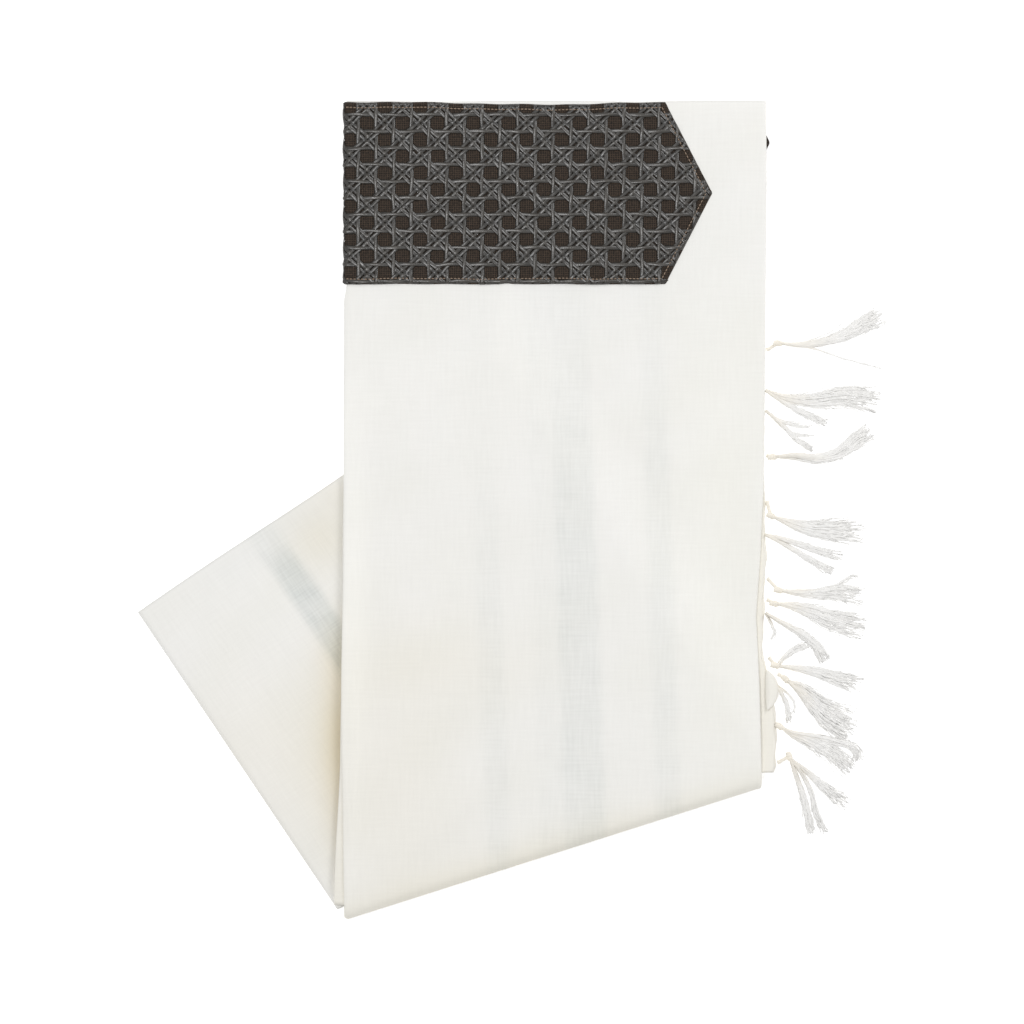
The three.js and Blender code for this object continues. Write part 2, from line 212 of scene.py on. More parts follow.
def add_shell(mesh: MeshBin, outer: Array, inner: Array, **values: Array) -> None:
    """Adds a thin closed shell between two grids of the same size.

    Args:
        mesh: where it goes.
        outer: rows x columns x 3 points of the upper face, row by row down the cloth.
        inner: the same of the lower face.
        values: named arrays over the grid, the same on both faces.
    """
    rows, columns = outer.shape[:2]
    size = rows * columns
    index = np.arange(size).reshape(rows, columns)
    rim = np.concatenate([index[:-1, 0], index[-1, :-1], index[:0:-1, -1], index[0, :0:-1]])
    after = np.roll(rim, -1)
    faces = [
        grid_faces(rows, columns),
        grid_faces(rows, columns, flip=True) + size,
        np.stack([rim, rim + size, after + size, after], -1),
    ]
    both = {key: np.concatenate([v.reshape(size, -1)] * 2).squeeze() for key, v in values.items()}
    mesh.add(np.concatenate([outer.reshape(-1, 3), inner.reshape(-1, 3)]), np.vstack(faces), **both)


def add_tube(
    mesh: MeshBin, path: Array, radii: Array, sides: int, flat: float = 1.0, **values: Array
) -> None:
    """Adds a closed tube along a path.

    Args:
        mesh: where it goes.
        path: N centres.
        radii: N radii.
        sides: how many sides its section has.
        flat: its height as a share of its width.
        values: named arrays of N numbers.
    """
    ahead = np.gradient(path, axis=0)
    side = np.cross(ahead, [0, 0, 1.0])
    side /= np.maximum(np.linalg.norm(side, axis=1, keepdims=True), 1e-9)
    up = np.cross(side, ahead)
    up /= np.maximum(np.linalg.norm(up, axis=1, keepdims=True), 1e-9)
    angle = np.arange(sides) * math.tau / sides
    ring = np.cos(angle)[None, :, None] * side[:, None] + flat * np.sin(angle)[None, :, None] * up[:, None]
    points = path[:, None] + ring * radii[:, None, None]
    size = len(path) * sides
    ends = np.arange(1, sides - 1)
    start = np.stack([0 * ends, ends, ends + 1, ends + 1], -1)
    finish = size - sides + np.stack([0 * ends, ends + 1, ends, ends], -1)
    faces = np.vstack([grid_faces(len(path), sides, around=True), start, finish])
    mesh.add(points.reshape(-1, 3), faces, **{key: np.repeat(v, sides) for key, v in values.items()})


# ---------- Finishes ----------


class NodeTree:
    """A new material's nodes."""

    def __init__(self, name: str) -> None:
        """Starts a material with nothing in it."""
        self.material = bpy.data.materials.new(name)
        self.material.use_nodes = True
        self.nodes = self.material.node_tree.nodes
        self.nodes.clear()

    def add(self, kind: str, links: dict | None = None, **settings: object) -> bpy.types.Node:
        """Adds a node.

        Args:
            kind: the node's type without its "ShaderNode".
            links: for each input, by name or number, a socket that feeds it or a value.
            settings: the node's own properties.

        Returns:
            The new node.
        """
        node = self.nodes.new("ShaderNode" + kind)
        for key, value in settings.items():
            setattr(node, key, value)
        for key, value in (links or {}).items():
            if isinstance(value, bpy.types.NodeSocket):
                self.material.node_tree.links.new(value, node.inputs[key])
            else:
                node.inputs[key].default_value = value
        return node

    def finish(self, surface: bpy.types.Node) -> bpy.types.Material:
        """Links the shader to the output and returns the material."""
        self.add("OutputMaterial", {"Surface": surface.outputs[0]})
        return self.material


@dataclass(frozen=True)
class WovenVoile:
    """Fine wool and silk voile, plain woven and left matt.

    To the eye it is a soft, nearly even ivory, crossed by thin, irregular weft threads, with a faint sheen at
    grazing angles. The real pitch of 0.35 mm is too fine to show, so the threads are drawn about 4 times as
    coarse.
    """

    colour: str = "#f6f5f1"
    thread_mm: float = 1.5
    slub_mm: float = 26.0
    contrast: float = 0.05
    roughness: float = 0.9
    bump: float = 0.25

    def material(self, name: str) -> bpy.types.Material:
        """Builds the material; it reads the cloth's own directions from "cut" and its tint,
        with painted light and shade, from "tint".
        """
        tree = NodeTree(name)
        cut = tree.add("Attribute", attribute_name="cut").outputs["Vector"]
        tint = tree.add("Attribute", attribute_name="tint").outputs["Vector"]
        show = tree.add("Attribute", attribute_name="stripe").outputs["Fac"]
        per_metre = 1 / (MM * self.thread_mm)
        weft_scale = (1 / (MM * self.slub_mm), per_metre, 1)
        warp_scale = (per_metre * 0.8, 1.2 / (MM * self.slub_mm), 1)
        noises = []
        for scale, detail in ((weft_scale, 2.0), (warp_scale, 1.0)):
            placed = tree.add("Mapping", {"Vector": cut, "Scale": scale})
            noise = tree.add("TexNoise", {"Vector": placed.outputs[0], "Scale": 1.0, "Detail": detail})
            noises.append(noise.outputs["Fac"])
        weft, warp = noises
        threads = tree.add("Math", {0: weft, 1: warp}, operation="ADD").outputs[0]
        centred = tree.add("Math", {0: threads, 1: 1.0}, operation="SUBTRACT").outputs[0]
        gain = tree.add("Math", {0: show, 1: 0.16, 2: self.contrast}, operation="MULTIPLY_ADD").outputs[0]
        shade = tree.add("Math", {0: centred, 1: gain, 2: 1.0}, operation="MULTIPLY_ADD").outputs[0]
        toned = tree.add("VectorMath", {0: tint, 1: linear(self.colour)[:3]}, operation="MULTIPLY").outputs[0]
        woven = tree.add("VectorMath", {0: toned, "Scale": shade}, operation="SCALE").outputs[0]
        bump = tree.add("Bump", {"Height": threads, "Strength": self.bump, "Distance": 0.3 * MM})
        shader = tree.add(
            "BsdfPrincipled",
            {
                "Base Color": woven,
                "Roughness": self.roughness,
                "IOR": 1.5,
                "Specular IOR Level": 0.25,
                "Sheen Weight": 0.15,
                "Sheen Roughness": 0.5,
                "Normal": bump.outputs[0],
            },
        )
        return tree.finish(shader)


@dataclass(frozen=True)
class CoatedStrand:
    """Imitation leather strip: a polyurethane film, embossed with a fine grain, on a cloth backing.

    To the eye it is a charcoal satin with broken glints on its shoulders. Its colour is painted paler in
    streaks of wear on the raised crossings and nearly black where it dips: painted light and shade along with
    the wear.
    """

    colour: str = "#171512"
    worn_and_lit: str = "#453f36"
    grain_mm: float = 0.7
    streak_mm: float = 5.0
    roughness: float = 0.31
    glossier: float = 0.1
    duller: float = 0.16
    bump: float = 0.35

    def material(self, name: str) -> bpy.types.Material:
        """Builds the material; "along" and "across" run along and across each strand."""
        tree = NodeTree(name)
        along = tree.add("Attribute", attribute_name="along").outputs["Fac"]
        across = tree.add("Attribute", attribute_name="across").outputs["Fac"]
        height = tree.add("Attribute", attribute_name="height").outputs["Fac"]
        placed = tree.add("CombineXYZ", {"X": along, "Y": across}).outputs[0]
        scale = (1 / self.streak_mm, 1 / self.grain_mm, 1.0)
        streaks = tree.add("Mapping", {"Vector": placed, "Scale": scale}).outputs[0]
        noise = tree.add("TexNoise", {"Vector": streaks, "Scale": 1.0, "Detail": 3.0}).outputs["Fac"]
        spot = tree.add("TexCoord").outputs["Object"]
        grain = tree.add("TexNoise", {"Vector": spot, "Scale": 1 / (self.grain_mm * MM), "Detail": 2.0})
        # Painted light and shade with wear: the paler worn colour shows in streaks, strongest where the strand
        # rises over another, and fades where it dips.
        wear_and_light = tree.add("Math", {0: noise, 1: height}, operation="MULTIPLY").outputs[0]
        mix = tree.add(
            "Mix",
            {"Factor": wear_and_light, "A": linear(self.colour), "B": linear(self.worn_and_lit)},
            data_type="RGBA",
        )
        least, most = self.roughness - self.glossier, self.roughness + self.duller
        gloss = tree.add("MapRange", {"Value": noise, "To Min": least, "To Max": most})
        relief = tree.add("Math", {0: noise, 1: grain.outputs["Fac"]}, operation="ADD").outputs[0]
        bump = tree.add("Bump", {"Height": relief, "Strength": self.bump, "Distance": 0.25 * MM})
        shader = tree.add(
            "BsdfPrincipled",
            {
                "Base Color": mix.outputs["Result"],
                "Roughness": gloss.outputs[0],
                "IOR": 1.5,
                "Specular IOR Level": 1.0,
                "Normal": bump.outputs[0],
            },
        )
        return tree.finish(shader)


@dataclass(frozen=True)
class GroundWeave:
    """The cloth under the strands: a dark warp crossed by a thin tan weft, loosely woven.

    To the eye it is a small brown check in the openings of the cane pattern. Its pitch is the real one.
    """

    dark: str = "#191613"
    tan: str = "#75604f"
    pitch_mm: float = 1.25
    roughness: float = 0.75

    def material(self, name: str) -> bpy.types.Material:
        """Builds the material; it reads the band's own directions from "cut"."""
        tree = NodeTree(name)
        cut = tree.add("Attribute", attribute_name="cut").outputs["Vector"]
        split = tree.add("SeparateXYZ", {0: cut})
        turns = math.tau / (self.pitch_mm * MM)
        waves = []
        for axis in ("X", "Y"):
            phase = tree.add("Math", {0: split.outputs[axis], 1: turns}, operation="MULTIPLY").outputs[0]
            waves.append(tree.add("Math", {0: phase}, operation="SINE").outputs[0])
        fine = tree.add("TexNoise", {"Vector": cut, "Scale": 1 / (1.6 * MM), "Detail": 2.0}).outputs["Fac"]
        checks = tree.add("Math", {0: waves[0], 1: waves[1]}, operation="MAXIMUM").outputs[0]
        uneven = tree.add("Math", {0: checks, 1: fine}, operation="MULTIPLY").outputs[0]
        share = tree.add("MapRange", {"Value": uneven, "From Min": 0.1, "From Max": 0.75, "To Max": 0.55})
        mix = tree.add(
            "Mix",
            {"Factor": share.outputs[0], "A": linear(self.dark), "B": linear(self.tan)},
            data_type="RGBA",
        )
        bump = tree.add("Bump", {"Height": checks, "Strength": 0.6, "Distance": 0.3 * MM})
        shader = tree.add(
            "BsdfPrincipled",
            {
                "Base Color": mix.outputs["Result"],
                "Roughness": self.roughness,
                "IOR": 1.5,
                "Specular IOR Level": 0.3,
                "Normal": bump.outputs[0],
            },
        )
        return tree.finish(shader)


@dataclass(frozen=True)
class SilkYarn:
    """Loosely spun silk and wool yarn, the warp's own ends.

    To the eye it is creamy where it is knotted and a cooler, nearly see-through white at its loose ends;
    that whiter tone is painted light, for the white table seen through the thin threads.
    """

    knotted: str = "#fbf5e9"
    loose: str = "#fcfbf9"
    roughness: float = 0.8

    def material(self, name: str) -> bpy.types.Material:
        """Builds the material; "along" is 0 at the border and 1 at the loose end."""
        tree = NodeTree(name)
        along = tree.add("Attribute", attribute_name="along").outputs["Fac"]
        spot = tree.add("TexCoord").outputs["Object"]
        noise = tree.add("TexNoise", {"Vector": spot, "Scale": 1 / (4 * MM), "Detail": 1.0}).outputs["Fac"]
        # Painted light: the colour turns whiter towards the loose ends, for the table seen through the thin
        # threads.
        share = tree.add("MapRange", {"Value": along, "From Min": 0.05, "From Max": 0.6})
        mix = tree.add(
            "Mix",
            {"Factor": share.outputs[0], "A": linear(self.knotted), "B": linear(self.loose)},
            data_type="RGBA",
        )
        shade = tree.add("MapRange", {"Value": noise, "To Min": 0.94, "To Max": 1.04}).outputs[0]
        toned = tree.add("VectorMath", {0: mix.outputs["Result"], "Scale": shade}, operation="SCALE")
        shader = tree.add(
            "BsdfPrincipled",
            {
                "Base Color": toned.outputs[0],
                "Roughness": self.roughness,
                "IOR": 1.5,
                "Specular IOR Level": 0.3,
                "Sheen Weight": 0.3,
                "Sheen Roughness": 0.4,
            },
        )
        return tree.finish(shader)


@dataclass(frozen=True)
class SewingThread:
    """Spun polyester thread, twisted and dyed: a small matt dash that reads a little paler than the band."""

    colour: str = "#9a8674"

    def material(self, name: str) -> bpy.types.Material:
        """Builds the material, mottled at the size of the thread's twist."""
        tree = NodeTree(name)
        spot = tree.add("TexCoord").outputs["Object"]
        noise = tree.add("TexNoise", {"Vector": spot, "Scale": 1 / (0.5 * MM)}).outputs["Fac"]
        shade = tree.add("MapRange", {"Value": noise, "To Min": 0.6, "To Max": 1.3}).outputs[0]
        toned = tree.add("VectorMath", {0: linear(self.colour)[:3], "Scale": shade}, operation="SCALE")
        shader = tree.add("BsdfPrincipled", {"Base Color": toned.outputs[0], "Roughness": 0.7, "IOR": 1.5})
        return tree.finish(shader)


# ---------- How the shawl is folded ----------


@dataclass(frozen=True)
class Fold:
    """The folded shawl's plan and heights, in millimetres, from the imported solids' own places."""

    left: float
    right_top: float
    top: float
    slant_left: float
    slant_right: float
    stack: float = 7.0
    hidden: float = 5.5
    lifted: float = 7.3
    lift_margin: float = 8.0
    lift_ramp: float = 48.0
    rear_corner: tuple[float, float] = (-262.5, -71.4)
    rear_far: tuple[float, float] = (-16.9, 93.7)
    # How far the strip's right edge lies inside its widest place, down its length.
    right_ys: tuple[float, ...] = (-194, -118, -75, -28, 21, 230, 287)
    right_insets: tuple[float, ...] = (3.6, 5.2, 7.2, 4.1, 1.9, -0.2, 0.4)
    bow: float = 1.7
    bow_y: float = -135.0
    crown: float = 1.3
    crown_reach: float = 15.0

    @classmethod
    def from_frame(cls) -> "Fold":
        """Reads the plan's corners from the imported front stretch."""
        low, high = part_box("front_stretch")
        run = (high.x - low.x) / MM - SLANT_INSET
        foot = low.y / MM - 0.6
        return cls(
            left=low.x / MM,
            right_top=high.x / MM,
            top=high.y / MM,
            slant_left=foot,
            slant_right=foot + run * math.tan(SLANT),
        )

    def left_x(self, y: Array) -> Array:
        """The strip's left edge, which bows out a little below the middle."""
        drawn_in = 1.8 * smoothstep(y, 146, 158)
        return self.left - self.bow * bell(y, self.bow_y, 75.0) + 0.5 * smoothstep(-y, 230, 290) + drawn_in

    def right_x(self, y: Array) -> Array:
        """The strip's right edge, which wanders in and out."""
        return self.right_top - np.interp(y, self.right_ys, self.right_insets)

    def slant_y(self, x: Array) -> Array:
        """The slanting fold's y under a place across."""
        share = (x - self.left) / (self.right_top - SLANT_INSET - self.left)
        return self.slant_left + (self.slant_right - self.slant_left) * share

    def underside(self, x: Array, y: Array) -> Array:
        """Height of the strip's underside: lifted over its own turned end, down on the surface elsewhere."""
        corners = [
            self.rear_corner,
            (self.left, self.slant_left),
            (self.right_top - SLANT_INSET, self.slant_right),
            self.rear_far,
        ]
        outside = np.full(np.broadcast(x, y).shape, -1e9)
        for (ax, ay), (bx, by) in zip(corners, corners[1:] + corners[:1]):
            run = math.hypot(bx - ax, by - ay)
            outside = np.maximum(outside, ((x - ax) * (by - ay) - (y - ay) * (bx - ax)) / run)
        return self.lifted * (1 - smoothstep(outside - self.lift_margin, 0, self.lift_ramp))

    def crowning(self, x: Array, y: Array) -> Array:
        """How far the strip sinks towards its rounded left and right folds."""
        left = np.exp(-np.clip(x - self.left_x(y), 0, None) / self.crown_reach)
        right = np.exp(-np.clip(self.right_x(y) - x, 0, None) / 9.0)
        return self.crown * left + 1.0 * right

    def relief(self, x: Array, y: Array) -> Array:
        """The top cloth's creases and soft hills over its solid's form."""
        hills = 0.28 * ripple(x, y, 11, 120.0) + 0.07 * ripple(x, y, 12, 34.0)
        ridge_x = self.left + 6.5 - 4.5 * smoothstep(-y, 190, 285)
        ridge = 0.55 * bell(x, ridge_x, 2.2) * smoothstep(-y, 90, 150)
        valley = -0.35 * bell(x, ridge_x + 4.5, 2.6) * smoothstep(-y, 90, 150)
        across = -0.3 * bell(y, -130.5 + 0.01 * x, 1.8) * bell(x, -50.0, 55.0)
        slope = (y + 245) - 1.28 * (x + 70)
        drawn = 0.9 * bell(slope, 0, 20.0) * bell(y, -213.0, 42.0)
        second = -0.7 * bell(slope, -44.0, 22.0) * bell(y, -225.0, 40.0)
        upper, lower = np.hypot(x - 133, y - 257), np.hypot(x - 144, y - 226)
        puckers = -0.5 * bell(upper, 0, 8.0) - 0.45 * bell(lower, 0, 8.0)
        pulled = -0.4 * bell(np.hypot(x - 120, y - 150), 0, 11.0)
        return hills + ridge + valley + across + drawn + second + puckers + pulled


@dataclass(frozen=True)
class ShadingWash:
    """A soft patch of another tint on the cloth: painted light and shade, lighter, or darker and warmer, where
    the folds and the layers under it catch or lose the light.
    """

    x: float
    y: float
    across: float
    along: float
    tint: tuple[float, float, float]
    turned: float = 0.0

    def strength(self, x: Array, y: Array) -> Array:
        """How much of it shows at each place."""
        c, s = math.cos(self.turned), math.sin(self.turned)
        dx, dy = x - self.x, y - self.y
        u, v = dx * c + dy * s, dy * c - dx * s
        return np.exp(-((u / self.across) ** 2) - (v / self.along) ** 2)


@dataclass(frozen=True)
class ShowThrough:
    """A woven stripe of the layers underneath, seen softly through the top one."""

    top_x: float
    foot_x: float
    width: float
    faint_y: float
    full_y: float
    depth: float

    def strength(self, x: Array, y: Array, top: float, foot: float) -> Array:
        """How much of it shows at each place."""
        centre = self.top_x + (self.foot_x - self.top_x) * (top - y) / (top - foot)
        half = self.width / 2
        away = np.abs(x - centre)
        band = 1 - smoothstep(away, half - 4.5, half + 4.5)
        return self.depth * band * (0.18 + 0.82 * smoothstep(-y, -self.faint_y, -self.full_y))


def tinted(x: Array, y: Array, shading_washes: Sequence[ShadingWash], stripes: Array) -> Array:
    """The cloth's tint at each place, painted light and shade included.

    Args:
        x: places across.
        y: places along.
        shading_washes: soft patches, each of which multiplies by its tint.
        stripes: how much of a stripe shows at each place.

    Returns:
        An array with red, green and blue last.
    """
    tint = np.ones((*x.shape, 3))
    for shading_wash in shading_washes:
        tint *= 1 + shading_wash.strength(x, y)[..., None] * (np.array(shading_wash.tint) - 1)
    return tint * (1 + stripes[..., None] * (np.array([0.80, 0.83, 0.84]) - 1))


# ---------- The shawl cloth ----------


@dataclass
class FrontStretch:
    """The stretch on top of the strip: rolled folds at both sides and the slanting fold round everything."""

    fold: Fold
    wall: float = 0.9
    left_radius: float = 3.0
    left_depth: float = 2.6
    right_radius: float = 4.0
    right_depth: float = 4.5
    slant_radius: float = 8.0
    columns: int = 98
    rows: int = 176
    turn_steps: int = 9
    stripes: tuple[ShowThrough, ...] = (
        ShowThrough(-30.0, -7.0, 17.0, 70.0, -90.0, 0.24),
        ShowThrough(34.0, 53.0, 29.0, 190.0, -40.0, 0.44),
        ShowThrough(93.0, 112.0, 17.0, 190.0, 20.0, 0.26),
        ShowThrough(14.0, 30.0, 17.0, 190.0, 90.0, 0.12),
    )
    # Painted light and shade: lighter down the left fold and the right side; darker and warmer at the lower
    # left, across the middle and along the slanting fold; a little greyer at the top.
    shading_washes: tuple[ShadingWash, ...] = (
        ShadingWash(-85, -190, 60, 110, (0.985, 0.97, 0.935)),
        ShadingWash(-112, -60, 12, 140, (1.06, 1.06, 1.05)),
        ShadingWash(150, -20, 40, 190, (1.02, 1.02, 1.0)),
        ShadingWash(-40, -105, 70, 30, (0.99, 0.98, 0.955)),
        ShadingWash(60, 190, 120, 70, (0.985, 0.99, 1.0)),
        ShadingWash(20, -245, 130, 22, (0.98, 0.965, 0.925), math.radians(17.6)),
    )

    def stations(self, face: float) -> tuple[Array, Array, Array]:
        """The stations across the cloth.

        Args:
            face: 0 on the outer face, the wall on the inner one.

        Returns:
            For each station, a share across the flat part, how far out of it, and how deep.
        """
        angles = np.linspace(math.pi, 0, self.turn_steps)
        shares = np.linspace(0, 1, self.columns)[1:-1]

        def turn(radius: float, depth: float) -> tuple[Array, Array]:
            """One side's turn: how far out and how deep."""
            return (radius - face) * np.sin(angles), face + (depth - 2 * face) * (1 - np.cos(angles)) / 2

        left_out, left_deep = turn(self.left_radius, self.left_depth)
        right_out, right_deep = turn(self.right_radius, self.right_depth)
        share = np.concatenate([0 * angles, shares, 0 * angles + 1])
        out = np.concatenate([-left_out, 0 * shares, right_out[::-1]])
        deep = np.concatenate([left_deep, 0 * shares + face, right_deep[::-1]])
        return share, out, deep

    def skin(self, face: float) -> tuple[Array, Array]:
        """One face of the cloth.

        Args:
            face: 0 on the outer face, the wall on the inner one.

        Returns:
            Its points, and where each lies on the flat cut.
        """
        fold = self.fold
        share, out, deep = self.stations(face)
        down = np.concatenate([np.linspace(0, 1, self.rows), np.ones(2 * self.turn_steps - 1)])[:, None]
        turn = np.linspace(0, math.pi, 2 * self.turn_steps)[1:]
        angle = np.concatenate([np.zeros(self.rows), turn])[:, None]
        x = np.zeros((len(down), len(share)))
        y = np.zeros_like(x)
        for _ in range(3):  # the edges depend on y, and the fold's y on x
            foot = fold.slant_y(x) + self.slant_radius
            y = fold.top + (foot - fold.top) * down
            left, right = fold.left_x(y) + self.left_radius, fold.right_x(y) - self.right_radius
            x = left + (right - left) * share
        flat_x, flat_y = x.copy(), y.copy()
        height = fold.underside(x, y) + fold.stack + fold.relief(x, y) - fold.crowning(x, y)
        height = height - 0.5 * bell(y, fold.top, 4.0)
        beyond = (self.slant_radius - deep) * np.sin(angle)
        drop = deep + (height - 2 * deep) * (1 - np.cos(angle)) / 2
        wavy = 0.35 * np.sin(x / 23.0 + 0.8) * bell(y, fold.top, 10.0)
        points = np.stack([x + out, y - beyond + wavy, height - drop], -1)
        cut = np.stack([flat_x + out, flat_y - angle * self.slant_radius, 0 * x], -1)
        return points, cut

    def build(self, finish: bpy.types.Material) -> bpy.types.Object:
        fold = self.fold
        outer, cut = self.skin(0.0)
        inner, _ = self.skin(self.wall)
        x, y = cut[..., 0], cut[..., 1]
        stripes = np.zeros_like(x)
        for stripe in self.stripes:
            shown = stripe.strength(x, y, fold.top, fold.slant_left)
            stripes = np.maximum(stripes, shown * (0.86 + 0.14 * ripple(x, y, 21, 26.0)))
        # Painted shade: the cloth is drawn darker and warmer close to the slanting fold.
        slant_shade = bell(np.clip(y - fold.slant_y(x), 0, None), 0, 13.0)
        tint = tinted(x, y, self.shading_washes, stripes)
        tint *= 1 - slant_shade[..., None] * np.array([0.035, 0.045, 0.075])
        tint *= 1 + 0.006 * ripple(x, y, 22, 70.0)[..., None] * np.array([1, 1, 1.6])
        mesh = MeshBin()
        add_shell(mesh, outer, inner, cut=cut * MM, tint=tint, stripe=stripes)
        cloth = mesh.build("front_cloth", finish, Slot.CLOTH)
        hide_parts("front_stretch")
        return cloth


@dataclass
class TurnedEnd:
    """The visible stretch of the strip's turned end, rolled down to the surface along its long left edge."""

    fold: Fold
    wall: float = 0.9
    radius: float = 5.0
    columns: int = 64
    rows: int = 90
    turn_steps: int = 11
    inner_x: float = -112.9
    foot_clear: float = 9.0
    # Painted shade: the dark tan patches at x = -119 to -126 are the painted shadow beside the strip's left
    # edge; the rest are softer painted shade, tan or grey.
    shading_washes: tuple[ShadingWash, ...] = (
        ShadingWash(-134, -18, 26, 26, (0.94, 0.915, 0.85)),
        ShadingWash(-120, 14, 20, 16, (0.97, 0.955, 0.92)),
        ShadingWash(-170, -20, 60, 14, (0.975, 0.98, 0.985), math.radians(34)),
        ShadingWash(-119, -165, 13, 62, (0.86, 0.80, 0.68)),
        ShadingWash(-126, -165, 24, 70, (0.95, 0.925, 0.86)),
        ShadingWash(-119, -100, 16, 24, (0.97, 0.94, 0.88)),
        ShadingWash(-170, -170, 60, 60, (0.995, 0.98, 0.95), math.radians(-56)),
    )
    stripe_at: float = 103.0
    stripe_width: float = 21.0

    def edges(self) -> tuple[Array, Array, Array, Array]:
        """The corners of the stretch: far left, near left, far right and near right."""
        fold = self.fold
        corner, far = np.array(fold.rear_corner), np.array(fold.rear_far)
        near = np.array([fold.left + 0.3, fold.slant_left])
        slant = np.array([fold.right_top - SLANT_INSET, fold.slant_right])
        far_line = corner + (far - corner) * (self.inner_x - corner[0]) / (far[0] - corner[0])
        near_line = near + (slant - near) * (self.inner_x - near[0]) / (slant[0] - near[0])
        return corner, near, far_line, near_line

    def skin(self, face: float) -> tuple[Array, Array, Array]:
        """One face of the cloth.

        Args:
            face: 0 on the outer face, the wall on the inner one.

        Returns:
            Its points, where each lies on the flat cut, and how far each is from the long edge.
        """
        corner, near, far_line, near_line = self.edges()
        length = np.linalg.norm(near - corner)
        down = np.linspace(0, 1 - self.foot_clear / length, self.rows)[:, None]
        left = corner + (near - corner) * down
        right = far_line + (near_line - far_line) * down
        width = np.linalg.norm(right - left, axis=1)[:, None]
        angles = np.linspace(math.pi, 0, self.turn_steps)
        out = (self.radius - face) * np.sin(angles)
        deep = face + (self.fold.stack - 2 * face) * (1 - np.cos(angles)) / 2
        shares = np.linspace(0, 1, self.columns)[1:]
        turned = np.tile(self.radius - out, (self.rows, 1))
        inset = np.concatenate([turned, self.radius + (width - self.radius) * shares], 1)
        depth = np.concatenate([deep, 0 * shares + face])[None, :]
        plan = left[:, None] + (right - left)[:, None] * (inset / width)[..., None]
        x, y = plan[..., 0], plan[..., 1]
        along = down * length + 0 * x
        turn = np.concatenate([np.linspace(1, 0, self.turn_steps), 0 * shares])[None, :]
        away = x - (self.inner_x - 2.0)
        valley = -1.1 * bell(away, 0, 16.0) * smoothstep(-y, 40, 120)
        hills = 0.3 * ripple(x, y, 31, 95.0) + 0.06 * ripple(x, y, 32, 30.0)
        rounded = -0.9 * np.exp(-np.clip(inset - self.radius, 0, None) / 9.0)
        height = self.fold.stack + (valley + hills + rounded) * (1 - turn)
        edge = 0.5 * np.sin(inset / 34.0) * bell(along, 0, 12.0)
        normal = (corner - near) / length
        z = height - depth * height / self.fold.stack
        points = np.stack([x + normal[0] * edge, y + normal[1] * edge, z], -1)
        points[..., 2] = np.maximum(points[..., 2], 0.05)
        cut = np.stack([inset - turn * 6, -along, 0 * x], -1)
        return points, cut, inset

    def build(self, finish: bpy.types.Material) -> bpy.types.Object:
        outer, cut, inset = self.skin(0.0)
        inner, _, _ = self.skin(self.wall)
        x, y, along = outer[..., 0], outer[..., 1], -cut[..., 1]
        half = self.stripe_width / 2
        wander = self.stripe_at + 2.0 * np.sin(along / 40)
        band = 1 - smoothstep(np.abs(inset - wander), half - 5, half + 4)
        stripes = 0.98 * band * (0.25 + 0.75 * smoothstep(along, 8, 34)) * (0.9 + 0.1 * ripple(x, y, 33, 22.0))
        tint = tinted(x, y, self.shading_washes, stripes)
        tint *= 1 + 0.008 * ripple(x, y, 34, 60.0)[..., None] * np.array([1, 1, 1.6])
        mesh = MeshBin()
        add_shell(mesh, outer, inner, cut=cut * MM, tint=tint, stripe=stripes)
        cloth = mesh.build("rear_cloth", finish, Slot.CLOTH)
        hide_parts("rear_stretch")
        return cloth


